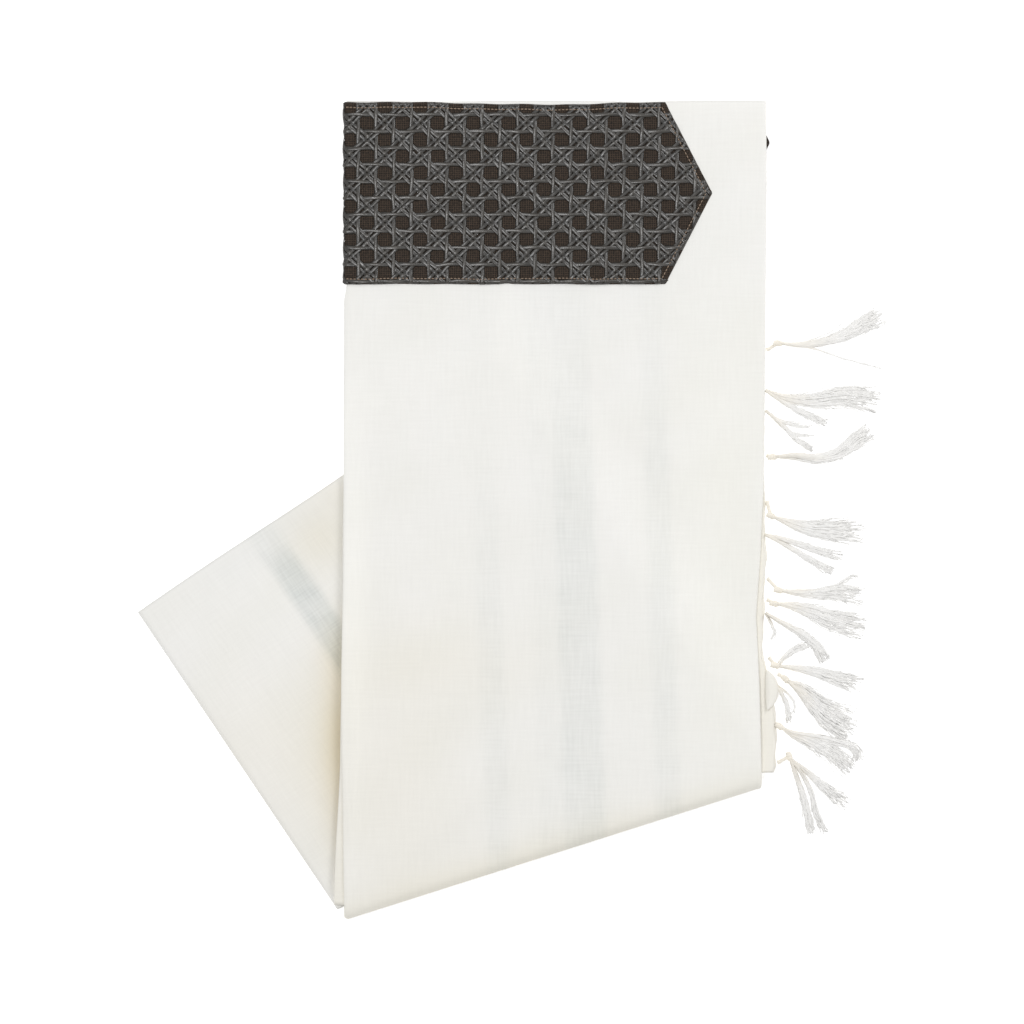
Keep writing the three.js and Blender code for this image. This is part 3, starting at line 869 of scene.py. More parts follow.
@dataclass
class HiddenLayers:
    """Every layer out of sight, as one rounded body whose edges show its layers as soft ridges."""

    fold: Fold
    inset: float = 6.6
    head_inset: float = 0.6
    foot_inset: float = 14.0
    across: int = 36
    along: int = 64
    ring_steps: int = 4
    # Painted shade: the layers that show at the edges are drawn darker and warmer than the top cloth.
    tint: tuple[float, float, float] = (0.97, 0.955, 0.92)

    def rim(self, layers: int, share: Array) -> Array:
        """How far the edge stands out, down its height.

        Args:
            layers: how many layers show.
            share: 0 at the top, 1 at the bottom.
        """
        return 0.8 * np.sqrt(np.abs(np.sin(np.pi * layers * share)))

    def block(
        self,
        mesh: MeshBin,
        plan: Callable[[Array, Array], tuple[Array, Array]],
        top: Callable[[Array, Array], Array],
        layers: int,
    ) -> None:
        """Adds one block of layers.

        Args:
            mesh: where it goes.
            plan: turns shares across and along into x and y.
            top: the height of its top at x and y.
            layers: how many layers show at its edges.
        """
        u, v = np.meshgrid(np.linspace(0, 1, self.across), np.linspace(0, 1, self.along))
        x, y = plan(u, v)
        upper = np.stack([x, y, top(x, y)], -1)
        lower = np.stack([x, y, 0 * x + 0.05], -1)
        rows, columns = x.shape
        size = rows * columns
        index = np.arange(size).reshape(rows, columns)
        border = np.concatenate([index[:-1, 0], index[-1, :-1], index[:0:-1, -1], index[0, :0:-1]])
        flat = upper.reshape(-1, 3)
        edge = flat[border]
        outward = np.roll(edge, 1, 0) - np.roll(edge, -1, 0)
        outward = np.stack([outward[:, 1], -outward[:, 0]], -1)
        outward /= np.maximum(np.linalg.norm(outward, axis=1, keepdims=True), 1e-9)
        shares = np.linspace(0, 1, layers * self.ring_steps + 1)[1:-1]
        rings = []
        for share in shares:
            layer = int(share * layers)
            wander = 0.35 * ripple(edge[:, 0], edge[:, 1], 41 + layer, 60.0)
            reach = self.rim(layers, share) + wander * np.sin(np.pi * share * layers) ** 2
            ring = edge.copy()
            ring[:, :2] += outward * reach[:, None]
            ring[:, 2] = edge[:, 2] * (1 - share) + 0.05 * share
            rings.append(ring)
        count = len(border)
        between = [2 * size + k * count + np.arange(count) for k in range(len(rings))]
        loops = [border, *between, border + size]
        faces = [grid_faces(rows, columns), grid_faces(rows, columns, flip=True) + size]
        for a, b in zip(loops, loops[1:]):
            faces.append(np.stack([a, b, np.roll(b, -1), np.roll(a, -1)], -1))
        points = np.concatenate([flat, lower.reshape(-1, 3), *rings])
        cut = points.copy()
        cut[:, 1] += points[:, 2]
        tint = np.full((len(points), 3), self.tint)
        mesh.add(points, np.vstack(faces), cut=cut * MM, tint=tint, stripe=np.zeros(len(points)))

    def build(self, finish: bpy.types.Material, rear: TurnedEnd) -> bpy.types.Object:
        """Makes the body.

        Args:
            finish: the cloth's material.
            rear: the turned end, whose plan part of it shares.
        """
        fold = self.fold

        def strip_plan(u: Array, v: Array) -> tuple[Array, Array]:
            """The strip's own layers."""
            x = fold.left + 150 * u
            for _ in range(2):
                foot = fold.slant_y(x) + self.foot_inset
                y = fold.top - self.head_inset + (foot - fold.top + self.head_inset) * v
                left, right = fold.left_x(y) + self.inset, fold.right_x(y) - self.inset
                x = left + (right - left) * u
            return x, y

        def strip_top(x: Array, y: Array) -> Array:
            """Just under the front stretch."""
            return fold.underside(x, y) + fold.hidden - fold.crowning(x, y) + fold.relief(x, y) - 0.3

        corner, near, far_line, near_line = rear.edges()

        def rear_plan(u: Array, v: Array) -> tuple[Array, Array]:
            """The turned end's layers, drawn in from its rolled edge and run on under the strip."""
            length = np.linalg.norm(near - corner)
            v = 1.2 / length + v * (1 - 16.0 / length)
            left = corner + (near - corner) * v[..., None]
            right = far_line + (near_line - far_line) * v[..., None] + np.array([8.0, 0.0])
            width = np.linalg.norm(right - left, axis=-1)
            share = 6.2 / width + u * (1 - 6.2 / width)
            place = left + (right - left) * share[..., None]
            return place[..., 0], place[..., 1]

        mesh = MeshBin()
        self.block(mesh, strip_plan, strip_top, 5)
        self.block(mesh, rear_plan, lambda x, y: 0 * x + fold.hidden - 1.3, 4)
        body = mesh.build("hidden_layers_cloth", finish, Slot.CLOTH)
        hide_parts("hidden_layers")
        return body


@dataclass
class SideFold:
    """A rolled fold of the inner layers that comes out below the strip's lower left edge."""

    fold: Fold
    head: float = 150.0
    foot: float = -276.0
    inner_x: float = -112.6
    ys: tuple[float, ...] = (-276, -264, -230, -180, -100, 150)
    xs: tuple[float, ...] = (-124.6, -124.4, -122.8, -120.6, -118.6, -117.6)

    def build(self, finish: bpy.types.Material) -> bpy.types.Object:
        fold = self.fold
        y = np.linspace(self.head, self.foot, 150)[:, None]
        angle = np.linspace(-0.5 * math.pi, 0.5 * math.pi, 13)[None, :]
        edge = np.interp(y, self.ys, self.xs) + 0.25 * np.sin(y / 17.0)
        reach = edge - self.inner_x
        middle = fold.underside(edge, y) + 3.1

        def face(inset: float) -> Array:
            """The roll's surface, drawn in by the wall on its inner face."""
            x = self.inner_x + (reach + inset) * np.cos(angle) ** 0.7
            z = middle + (1.25 - inset) * np.sin(angle) * (1 + 0.25 * np.sin(y / 29.0))
            return np.stack([x, y + 0 * angle, z], -1)[:, ::-1]

        outer, inner = face(0.0), face(0.5)
        tint = tinted(outer[..., 0], outer[..., 1], (), 0 * outer[..., 0])
        # Painted shade: the roll is drawn darker and warmer towards its foot, beside the strip's lower left
        # edge.
        foot_shade = smoothstep(-outer[..., 1], 120, 230)[..., None]
        tint *= 1 - foot_shade * np.array([0.02, 0.04, 0.09])
        mesh = MeshBin()
        add_shell(mesh, outer, inner, cut=outer * MM, tint=tint, stripe=0 * outer[..., 0])
        cloth = mesh.build("side_fold_cloth", finish, Slot.CLOTH)
        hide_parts("side_fold")
        return cloth


@dataclass
class FringedBorder:
    """The fringed ends' border past the strip's lower right edge, with one lobe of it curled up."""

    fold: Fold
    head: float = 126.0
    foot: float = -183.5
    inner: float = 5.0
    ys: tuple[float, ...] = (-183.5, -180, -160, -138, -122, -112, -104, -77, -50, -35, 0, 21, 126)
    xs: tuple[float, ...] = (
        184.2, 186.0, 186.2, 185.6, 182.0, 179.6, 177.4, 177.6, 178.6, 179.4, 178.6, 178.0, 177.8
    )

    def ribbon(
        self, mesh: MeshBin, y: Array, left: Array, right: Array, z: Array, tint: Sequence[float]
    ) -> None:
        """Adds a strip of cloth between two edges.

        Args:
            mesh: where it goes.
            y: N heights.
            left: N left edges.
            right: N right edges.
            z: N x columns heights of its middle.
            tint: its tint.
        """
        columns = z.shape[1]
        share = np.linspace(0, 1, columns)[None, :]
        x = left[:, None] + (right - left)[:, None] * share
        ys = y[:, None] + 0 * x
        round_edge = 0.4 * np.clip((share - 0.85) / 0.15, 0, 1) ** 2
        outer = np.stack([x, ys, z + 0.45 - round_edge], -1)
        inner = np.stack([x, ys, z - 0.45 + round_edge], -1)
        colour = np.tile(np.array(tint, float), (*x.shape, 1))
        add_shell(mesh, outer, inner, cut=outer * MM, tint=colour, stripe=0 * x)

    def build(self, finish: bpy.types.Material) -> bpy.types.Object:
        fold = self.fold
        mesh = MeshBin()
        y = np.linspace(self.head, self.foot, 150)
        edge = np.interp(y, self.ys, self.xs) - 1.0
        left = fold.right_x(y) - self.inner
        columns = np.linspace(0, 1, 12)[None, :]
        base = fold.underside(edge, y)
        # Painted shade: the two flat layers are drawn darker and warmer than the top cloth.
        for height, out, phase in ((0.75, 0.0, 0.0), (1.6, -0.9, 1.7)):
            right = edge + out + 0.45 * np.sin(y / 6.5 + phase) + 0.3 * np.sin(y / 2.9 + phase)
            waves = 0.22 * np.sin(y / 8.0 + phase)[:, None] * columns
            self.ribbon(mesh, y, left, right, base[:, None] + height + waves, (0.985, 0.965, 0.92))
        turn = np.linspace(0, 1, 60)
        lobe_y = -112.0 - 28.0 * turn
        swell = np.sin(np.pi * np.clip(turn, 0.02, 0.98)) ** 0.55
        lobe_left = 176.0 + 3.0 * (1 - swell) + 1.5 * np.sin(turn * 3)
        lobe_right = 177.6 + 9.4 * swell
        bow = np.sin(np.pi * np.linspace(0.08, 0.94, 12))[None, :]
        lift = fold.underside(lobe_right, lobe_y)[:, None]
        curl = lift + 2.6 + 2.6 * bow * swell[:, None]
        # Painted light and shade: the curled lobe is drawn paler than the flat layers beside it.
        self.ribbon(mesh, lobe_y, lobe_left, lobe_right, curl, (1.0, 0.985, 0.95))
        cloth = mesh.build("fringed_border_cloth", finish, Slot.CLOTH)
        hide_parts("fringed_border")
        return cloth


# ---------- The neck band ----------


@dataclass
class NeckBand:
    """The neck band's visible half: a ground weave under strands that are laced like six-way chair cane."""

    left: float = 0.0
    shoulder: float = 0.0
    tip: float = 0.0
    high: float = 0.0
    low: float = 0.0
    base: float = 7.35
    ground: float = 0.7
    pitch_x: float = 12.4
    pitch_y: float = 11.65
    pair_gap: float = 3.25
    strand_width: float = 2.95
    strand_thick: float = 0.42
    lace: float = 0.5
    step: float = 1.25
    hem: float = 3.9
    fold_start: float = 3.9
    fold_reach: float = 4.2
    fold_half: float = 1.3
    wrap: float = 9.0
    left_crown: float = 1.15
    crown_reach: float = 14.0
    first_x: float = -101.5
    first_y: float = 259.7

    def __post_init__(self) -> None:
        """Takes the band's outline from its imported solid."""
        low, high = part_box("neck_band")
        self.left = low.x / MM
        self.tip = high.x / MM
        self.low, self.high = low.y / MM, high.y / MM
        self.shoulder = self.tip - 33.0

    def upper_y(self, x: Array) -> Array:
        """The upper edge, which dips a little and puckers at the stitches."""
        dip = 1.9 * bell(x, 20, 62.0)
        return self.high - dip + 0.22 * np.sin(x / 5.1) + 0.2 * np.sin(x / 11.3 + 1)

    def lower_y(self, x: Array) -> Array:
        """The lower edge."""
        return self.low + 0.2 * np.sin(x / 6.3 + 2) + 0.22 * np.sin(x / 14.1)

    def inside(self, x: Array, y: Array) -> Array:
        """How far inside the outline each place is; negative outside."""
        centre = (self.high + self.low) / 2
        half = (self.high - self.low) / 2
        run = self.tip - self.shoulder
        slant = math.hypot(run, half)
        point = (half * (self.tip - x) - run * np.abs(y - centre)) / slant
        edges = np.minimum(self.upper_y(x) - y, y - self.lower_y(x))
        sharp = np.minimum(edges, point)
        blend = np.clip(0.5 + (edges - point) / 6.0, 0, 1)  # rounds the three corners a little
        return sharp - 1.5 * blend * (1 - blend) - 0.5 * bell(np.hypot(x - self.tip, y - centre), 0, 5.0)

    def swell(self, x: Array, y: Array) -> Array:
        """The band's own relief: a rolled hem, a groove along its stitches and puckers outside them."""
        d = self.inside(x, y)
        roll = -0.85 * (1 - np.sqrt(np.clip(1 - np.clip(1 - d / 1.6, 0, 1) ** 2, 0, 1)))
        groove = -0.42 * bell(d, self.hem, 0.75)
        along = x - 0.4 * y
        stronger = 0.6 + 0.6 * smoothstep(x, 100, 125)
        pucker = 0.22 * np.sin(along / 1.35 + 2 * np.sin(y / 7)) * bell(d, 1.9, 1.7) * stronger
        hills = 0.3 * ripple(x, y, 51, 46.0) + 0.12 * ripple(x, y, 52, 17.0)
        tip_lift = 0.5 * bell(x, self.tip - 14, 12.0) * smoothstep(d, 2, 7)
        return roll + groove + pucker + hills * smoothstep(d, 0, 6) + tip_lift

    def place(self, x: Array, y: Array, rise: Array) -> Array:
        """Puts a point of the flat band in its place, round the left fold where x runs past it.

        Args:
            x: places along the band; left of the fold's top they go round it.
            y: places across it.
            rise: heights above the band's underside.

        Returns:
            Points in millimetres.
        """
        start = self.left + self.fold_start
        past = np.clip(start - x, 0, None)
        angle = np.clip(past / self.fold_reach, 0, math.pi)
        under = np.clip(past - self.fold_reach * math.pi, 0, None)
        flat_x = np.maximum(x, start)
        sunk = self.left_crown * np.exp(-(flat_x - start) / self.crown_reach)
        top = self.base - sunk
        half = self.fold_half
        height = self.swell(flat_x, y) * np.cos(angle / 2) + rise
        px = flat_x - (3.0 + height) * np.sin(angle) + under
        pz = top - half + (half + height) * np.cos(angle)
        return np.stack([px, y + 0 * px, pz], -1)

    def build_ground(self, finish: bpy.types.Material) -> bpy.types.Object:
        """Makes the ground cloth as a thin closed shell with the band's outline."""
        start = self.left + self.fold_start - self.wrap
        point = np.linspace(self.shoulder, self.tip - 0.3, 36)[1:]
        run = np.concatenate([np.linspace(start, self.shoulder, 200), point])
        share = np.linspace(0, 1, 100)[:, None]
        centre, half = (self.high + self.low) / 2, (self.high - self.low) / 2
        taper = np.clip((self.tip - run) / (self.tip - self.shoulder), 0.012, 1)
        upper = np.minimum(self.upper_y(run), centre + half * taper)
        lower = np.maximum(self.lower_y(run), centre - half * taper)
        y = upper + (lower - upper) * share
        x = run[None, :] + 0 * y
        outer = self.place(x, y, self.ground + 0 * x)
        inner = self.place(x, y, 0 * x - 0.2)
        cut = np.stack([x, y, 0 * x], -1)
        mesh = MeshBin()
        add_shell(mesh, outer, inner, cut=cut * MM)
        band = mesh.build("neck_band_ground", finish, Slot.BAND)
        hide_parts("neck_band")
        return band

    def strand_lines(self) -> list[tuple[Run, Array, Array, int]]:
        """Every strand's straight middle line on the flat band.

        Returns:
            For each strand its run, its start, its direction and which of its pair it is.
        """
        hx, hy = self.pitch_x, self.pitch_y
        x0, x1 = self.left - self.wrap, self.tip
        y0, y1 = self.low, self.high
        lines = []
        for j in range(math.floor((y0 - self.first_y) / hy) - 1, math.ceil((y1 - self.first_y) / hy) + 1):
            lines.append((Run.LEVEL, np.array([x0, self.first_y + (j + 0.5) * hy]), np.array([1.0, 0.0]), j))
        for i in range(math.floor((x0 - self.first_x) / hx) - 1, math.ceil((x1 - self.first_x) / hx) + 1):
            lines.append((Run.UPRIGHT, np.array([self.first_x + (i + 0.5) * hx, y0]), np.array([0.0, 1.0]), i))
        tall = y1 - y0
        for run, sign in ((Run.RISING, 1), (Run.FALLING, -1)):
            ahead = np.array([hx, sign * hy]) / math.hypot(hx, hy)
            side = np.array([-ahead[1], ahead[0]])
            reach = tall / hy * hx
            first = math.floor((x0 - reach - self.first_x) / (2 * hx))
            last = math.ceil((x1 + reach - self.first_x) / (2 * hx))
            for k in range(first, last + 1):
                node = np.array([self.first_x + 2 * k * hx, self.first_y])
                for which in (0, 1):
                    offset = side * self.pair_gap * (which - 0.5)
                    lines.append((run, node + offset, ahead, which))
        return lines

    def lacing(self, run: Run, x: Array, y: Array, which: int) -> Array:
        """How high a strand is laced at each place, from -1 under to 1 over.

        Args:
            run: which way the strand runs.
            x: places along the band.
            y: places across it.
            which: which of its pair the strand is.
        """
        u, v = (x - self.first_x) / self.pitch_x, (y - self.first_y) / self.pitch_y
        if run is Run.LEVEL:
            return np.cos(math.pi * (u - 0.5)) * (-1) ** np.round(v - 0.5)
        if run is Run.UPRIGHT:
            return -np.cos(math.pi * (v - 0.5)) * (-1) ** np.round(u - 0.5)
        # Near each knot of four, a diagonal strand goes over one of the crossing pair and under the other.
        sign = 1 if run is Run.RISING else -1
        node = np.round((u + sign * v) / 2)
        along = (u + sign * v) / 2 - node
        reach = along * math.hypot(self.pitch_x, self.pitch_y)
        gap = self.pair_gap
        order = 1 if (which == 0) == (run is Run.RISING) else -1
        return order * (bell(reach, -gap / 2, gap * 0.52) - bell(reach, gap / 2, gap * 0.52))

    def build_strands(self, finish: bpy.types.Material) -> bpy.types.Object:
        """Makes every strand as a flat, slightly crowned ribbon that laces over and under the others."""
        mesh = MeshBin()
        rng = np.random.default_rng(7)
        half, thick = self.strand_width / 2, self.strand_thick
        profile_x = np.array([-1.0, -0.72, -0.25, 0.25, 0.72, 1.0, 0.0])
        profile_z = np.array([0.0, 0.62, 0.95, 0.95, 0.62, 0.0, -0.35])
        for run, start, ahead, which in self.strand_lines():
            side = np.array([-ahead[1], ahead[0]])
            t = np.arange(-330, 620, self.step)
            line = start + t[:, None] * ahead
            x, y = line[:, 0], line[:, 1]
            kept = (self.inside(x, y) > -1.6) & (x > self.left + self.fold_start - self.wrap)
            if kept.sum() < 4:
                continue
            first, last = np.flatnonzero(kept)[[0, -1]]
            x, y, t = x[first : last + 1], y[first : last + 1], t[first : last + 1]
            laced = self.lacing(run, x, y, which)
            seed, drift = rng.uniform(0, 60, 2)
            wander = 0.22 * np.sin(t / 7.0 + seed) + 0.12 * np.sin(t / 3.1 + drift)
            wide = half * (1 + 0.1 * np.sin(t / 5.0 + drift) - 0.1 * np.abs(laced))
            tilt = 0.22 * np.sin(t / 4.3 + seed) + 0.12 * rng.standard_normal()
            across = profile_x[None, :] * wide[:, None] + wander[:, None]
            px = x[:, None] + side[0] * across
            py = y[:, None] + side[1] * across
            d = self.inside(px, py)
            over = np.clip(0.15 - d, 0, None)  # what reaches past the outline is drawn in to it
            centre = (self.high + self.low) / 2
            by_point = (px > self.shoulder) & (np.abs(py - centre) < self.high - centre - 2)
            inward_x = np.where(by_point, -0.9, 0.0)
            inward_y = np.where(inward_x < 0, -0.45, -1.0) * np.sign(py - centre)
            px, py = px + over * inward_x, py + over * inward_y
            rise = self.ground + 0.42 + self.lace * laced[:, None] + thick * profile_z[None, :]
            rise = rise + tilt[:, None] * profile_x[None, :] * 0.8
            rise = rise * np.where(d < 1.0, np.clip(0.45 + 0.55 * d, 0.3, 1), 1.0)
            points = self.place(px, py, rise)
            rows, columns = px.shape
            ends = np.arange(1, columns - 1)
            caps = np.stack([0 * ends, ends, ends + 1, ends + 1], -1)
            finish_caps = rows * columns - columns + caps[:, [0, 2, 1, 1]]
            faces = np.vstack([grid_faces(rows, columns, around=True), caps, finish_caps])
            along = np.repeat(t + 40 * seed, columns)
            edge = np.tile(profile_x * half + drift, rows)
            # How high the strand is laced, which the material uses to paint it paler on top: painted light with
            # its wear.
            height = np.repeat(0.5 + 0.5 * laced, columns)
            mesh.add(points.reshape(-1, 3), faces[:, ::-1], along=along, across=edge, height=height)
        return mesh.build("neck_band_strands", finish, Slot.BAND)

    def build_stitches(self, finish: bpy.types.Material) -> bpy.types.Object:
        """Makes the line of stitches along the hem."""
        mesh = MeshBin()
        centre = (self.high + self.low) / 2
        hem = self.hem
        slope = math.atan2(self.high - centre, self.tip - self.shoulder)
        inner_tip = self.tip - hem / math.sin(slope)
        inner_shoulder = inner_tip - (self.high - centre - hem) / math.tan(slope)
        corners = [
            (self.left + 1.0, self.high - hem),
            (inner_shoulder, self.high - hem),
            (inner_tip, centre),
            (inner_shoulder, self.low + hem),
            (self.left + 1.0, self.low + hem),
        ]
        for (ax, ay), (bx, by) in zip(corners, corners[1:]):
            run = math.hypot(bx - ax, by - ay)
            count = int(run / 2.6)
            for k in range(count):
                t = (k + np.linspace(0.1, 0.86, 6)) / count
                x = ax + (bx - ax) * t
                y = ay + (by - ay) * t
                if ay == by:
                    line = self.upper_y(x) - self.high if ay > centre else self.lower_y(x) - self.low
                    y = y + line
                bowed = np.sin(np.linspace(0, math.pi, 6))
                path = self.place(x, y, self.ground + 0.35 + 0.75 * bowed)
                radii = 0.4 * (0.55 + 0.45 * bowed)
                add_tube(mesh, path, radii, 6)
        return mesh.build("neck_band_stitches", finish, Slot.BAND)

    def build(self, ground: bpy.types.Material, strand: bpy.types.Material, thread: bpy.types.Material) -> None:
        """Args:
            ground: the ground weave's material.
            strand: the strands' material.
            thread: the stitches' material.
        """
        cloth = self.build_ground(ground)
        strands = self.build_strands(strand)
        stitches = self.build_stitches(thread)


@dataclass
class CornerPatch:
    """The corner of the dark reinforcing patch on the fringed end, which peeps out at the right edge."""

    lie: float = 1.0
    curl: float = 0.9

    def build(self, finish: bpy.types.Material) -> bpy.types.Object:
        """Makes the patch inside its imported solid's box, with its free corner curled."""
        low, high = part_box("corner_patch")
        x0, x1, y0, y1 = (v / MM for v in (low.x, high.x, low.y, high.y))
        share = np.linspace(0, 1, 22)[:, None]
        across = np.linspace(0, 1, 10)[None, :]
        y = y1 + (y0 - y1) * share
        tip = 0.70 + 0.30 * np.exp(-(((share - 0.28) / 0.2) ** 2)) - 0.05 * share
        x = x0 + (x1 - x0) * tip * across
        z = self.lie + self.curl * across**3 * bell(share, 0.3, 0.3)
        outer = np.stack([x, y + 0 * x, z + 0.35], -1)
        inner = np.stack([x, y + 0 * x, z - 0.3], -1)
        mesh = MeshBin()
        add_shell(mesh, outer, inner, cut=outer * MM)
        patch = mesh.build("corner_patch_cloth", finish, Slot.BAND)
        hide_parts("corner_patch")
        return patch


# ---------- The tassels ----------


@dataclass(frozen=True)
class Lock:
    """One lock of a tassel's threads: the points it passes, its spread at the end and how many threads."""

    route: tuple[tuple[float, float], ...]
    spread: float
    threads: int
    height: float = 1.6


@dataclass(frozen=True)
class Tassel:
    """A bunch of warp ends, knotted close to the border and combed out below the knot."""

    number: int
    root: tuple[float, float]
    knot: tuple[float, float] | None
    locks: tuple[Lock, ...]
    thread: float = 0.55
    fullness: float = 1.6
    knot_radius: float = 2.7

    def add_stem(self, mesh: MeshBin, start: Array, end: Array) -> None:
        """Adds the twisted threads between the border and the knot.

        Args:
            mesh: where they go.
            start: the border's end of them.
            end: the knot's end.
        """
        t = np.linspace(0, 1, 14)
        for k in range(5):
            phase = k * math.tau / 5
            spin = phase + 3.6 * t
            width = 0.95 - 0.35 * np.sin(np.pi * t)
            path = start + (end - start) * t[:, None]
            ahead = (end - start)[:2] / max(np.linalg.norm((end - start)[:2]), 1e-6)
            offset = np.stack([-ahead[1] * np.cos(spin), ahead[0] * np.cos(spin), np.sin(spin)], -1)
            path = path + offset * width[:, None]
            path[:, 2] = np.maximum(path[:, 2], 0.6)
            add_tube(mesh, path, np.full(14, 0.62), 6, along=0 * t)

    def add_knot(self, mesh: MeshBin, centre: Array, heading: float) -> None:
        """Adds the overhand knot: two turns of the whole bunch round itself.

        Args:
            mesh: where it goes.
            centre: its centre.
            heading: the direction of the threads below it, in radians.
        """
        ahead = np.array([math.cos(heading), math.sin(heading), 0.0])
        side = np.array([-ahead[1], ahead[0], 0.0])
        up = np.array([0.0, 0.0, 1.0])
        radius = self.knot_radius
        for strand in range(6):
            turn = np.linspace(0, 1, 46)
            angle = math.tau * 1.35 * turn + 0.5
            lane = (strand - 2.5) * 0.62
            ring = radius * 0.62 + 0.22 * math.cos(strand * 1.9)
            bulge = ring * (1 - 0.05 * np.cos(2 * angle)) * (1 - 0.22 * (lane / 1.6) ** 2)
            shift = lane + 0.9 * np.sin(angle * 0.5 + 0.4) - 0.6 * (turn - 0.5)
            path = (
                centre
                + ahead * shift[:, None]
                + side * (bulge * np.cos(angle))[:, None]
                + up * (bulge * 0.86 * np.sin(angle))[:, None]
            )
            add_tube(mesh, path, np.full(46, 0.66), 7, along=0.02 + 0 * turn)
        t = np.linspace(-1, 1, 12)
        core = centre + ahead * (t * radius * 1.15)[:, None]
        taper = np.sqrt(np.clip(1.12 - t**2, 0.02, 1))
        add_tube(mesh, core, radius * 0.66 * taper, 12, flat=0.85, along=0.02 + 0 * t)

    def add_lock(self, mesh: MeshBin, lock: Lock, start: Array, rng: np.random.Generator) -> None:
        """Adds one lock of loose threads.

        Args:
            mesh: where they go.
            lock: their route and number.
            start: where they leave the knot or the border.
            rng: the tassel's own random numbers.
        """
        steps = 20
        plan = through([tuple(start[:2]), *lock.route], steps)
        ahead = np.gradient(plan, axis=0)
        ahead /= np.maximum(np.linalg.norm(ahead, axis=1, keepdims=True), 1e-9)
        side = np.stack([-ahead[:, 1], ahead[:, 0]], -1)
        length = np.linalg.norm(np.diff(plan, axis=0), axis=1).sum()
        t = np.linspace(0, 1, steps)
        for _ in range(round(lock.threads * self.fullness)):
            lane = rng.uniform(-1, 1)
            lane = math.copysign(abs(lane) ** 0.9, lane)
            reach = rng.uniform(0.84, 1.02) if rng.random() < 0.8 else rng.uniform(0.6, 0.95)
            level = rng.uniform(0, 1)
            drift = rng.normal(0, 0.16) * lock.spread
            fan = (0.28 * 1.9 + (lock.spread - 0.5) * t**1.25) * lane + drift * t**2.2
            pitch = rng.uniform(7, 15)
            phase = rng.uniform(0, math.tau, 3)
            curl = (0.15 + 0.75 * t**1.3) * np.sin(math.tau * t * length / pitch + phase[0])
            curl += (0.1 + 0.35 * t) * np.sin(math.tau * t * length / (pitch * 0.37) + phase[1])
            curl *= 0.5 * min(1.0, lock.spread / 4 + 0.4)
            s = t * reach
            place = np.stack([np.interp(s, t, plan[:, k]) for k in (0, 1)], -1)
            place += np.stack([np.interp(s, t, side[:, k]) for k in (0, 1)], -1) * (fan + curl)[:, None]
            pile = lock.height * (1 - 0.55 * t) * (1 - 0.5 * lane**2)
            ground = self.thread + 0.15
            z = ground + pile * 1.5 * level + (start[2] - 1.2) * (1 - smoothstep(t, 0, 0.45))
            z += 0.3 * np.sin(math.tau * t * length / (pitch * 1.3) + phase[2]) * t
            path = np.column_stack([place, np.maximum(z, ground)])
            radii = self.thread * (1 - 0.45 * t**3) * rng.uniform(0.75, 1.1)
            add_tube(mesh, path, radii, 4, along=0.08 + 0.92 * t)

    def build(self, fold: Fold, finish: bpy.types.Material) -> bpy.types.Object:
        """Makes the whole tassel.

        Args:
            fold: the folded shawl's heights.
            finish: the yarn's material.
        """
        rng = np.random.default_rng(100 + self.number)
        mesh = MeshBin()
        border = float(fold.underside(np.array(self.root[0]), np.array(self.root[1]))) + 1.1
        root = np.array([*self.root, border])
        first = self.locks[0].route[0]
        if self.knot:
            centre = np.array([*self.knot, max(2.4, border / 2 + 2.2)])
            heading = math.atan2(first[1] - centre[1], first[0] - centre[0])
            self.add_stem(mesh, root, centre)
            self.add_knot(mesh, centre, heading)
            start = centre + np.array([math.cos(heading), math.sin(heading), -0.1]) * self.knot_radius * 0.7
        else:
            start = root + np.array([-0.8, 0.0, 0.9])
        for lock in self.locks:
            self.add_lock(mesh, lock, start, rng)
        tassel = mesh.build(f"tassel_yarn_{self.number:02d}", finish, Slot.FRINGE)
        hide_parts(f"tassel_{self.number:02d}")
        return tassel


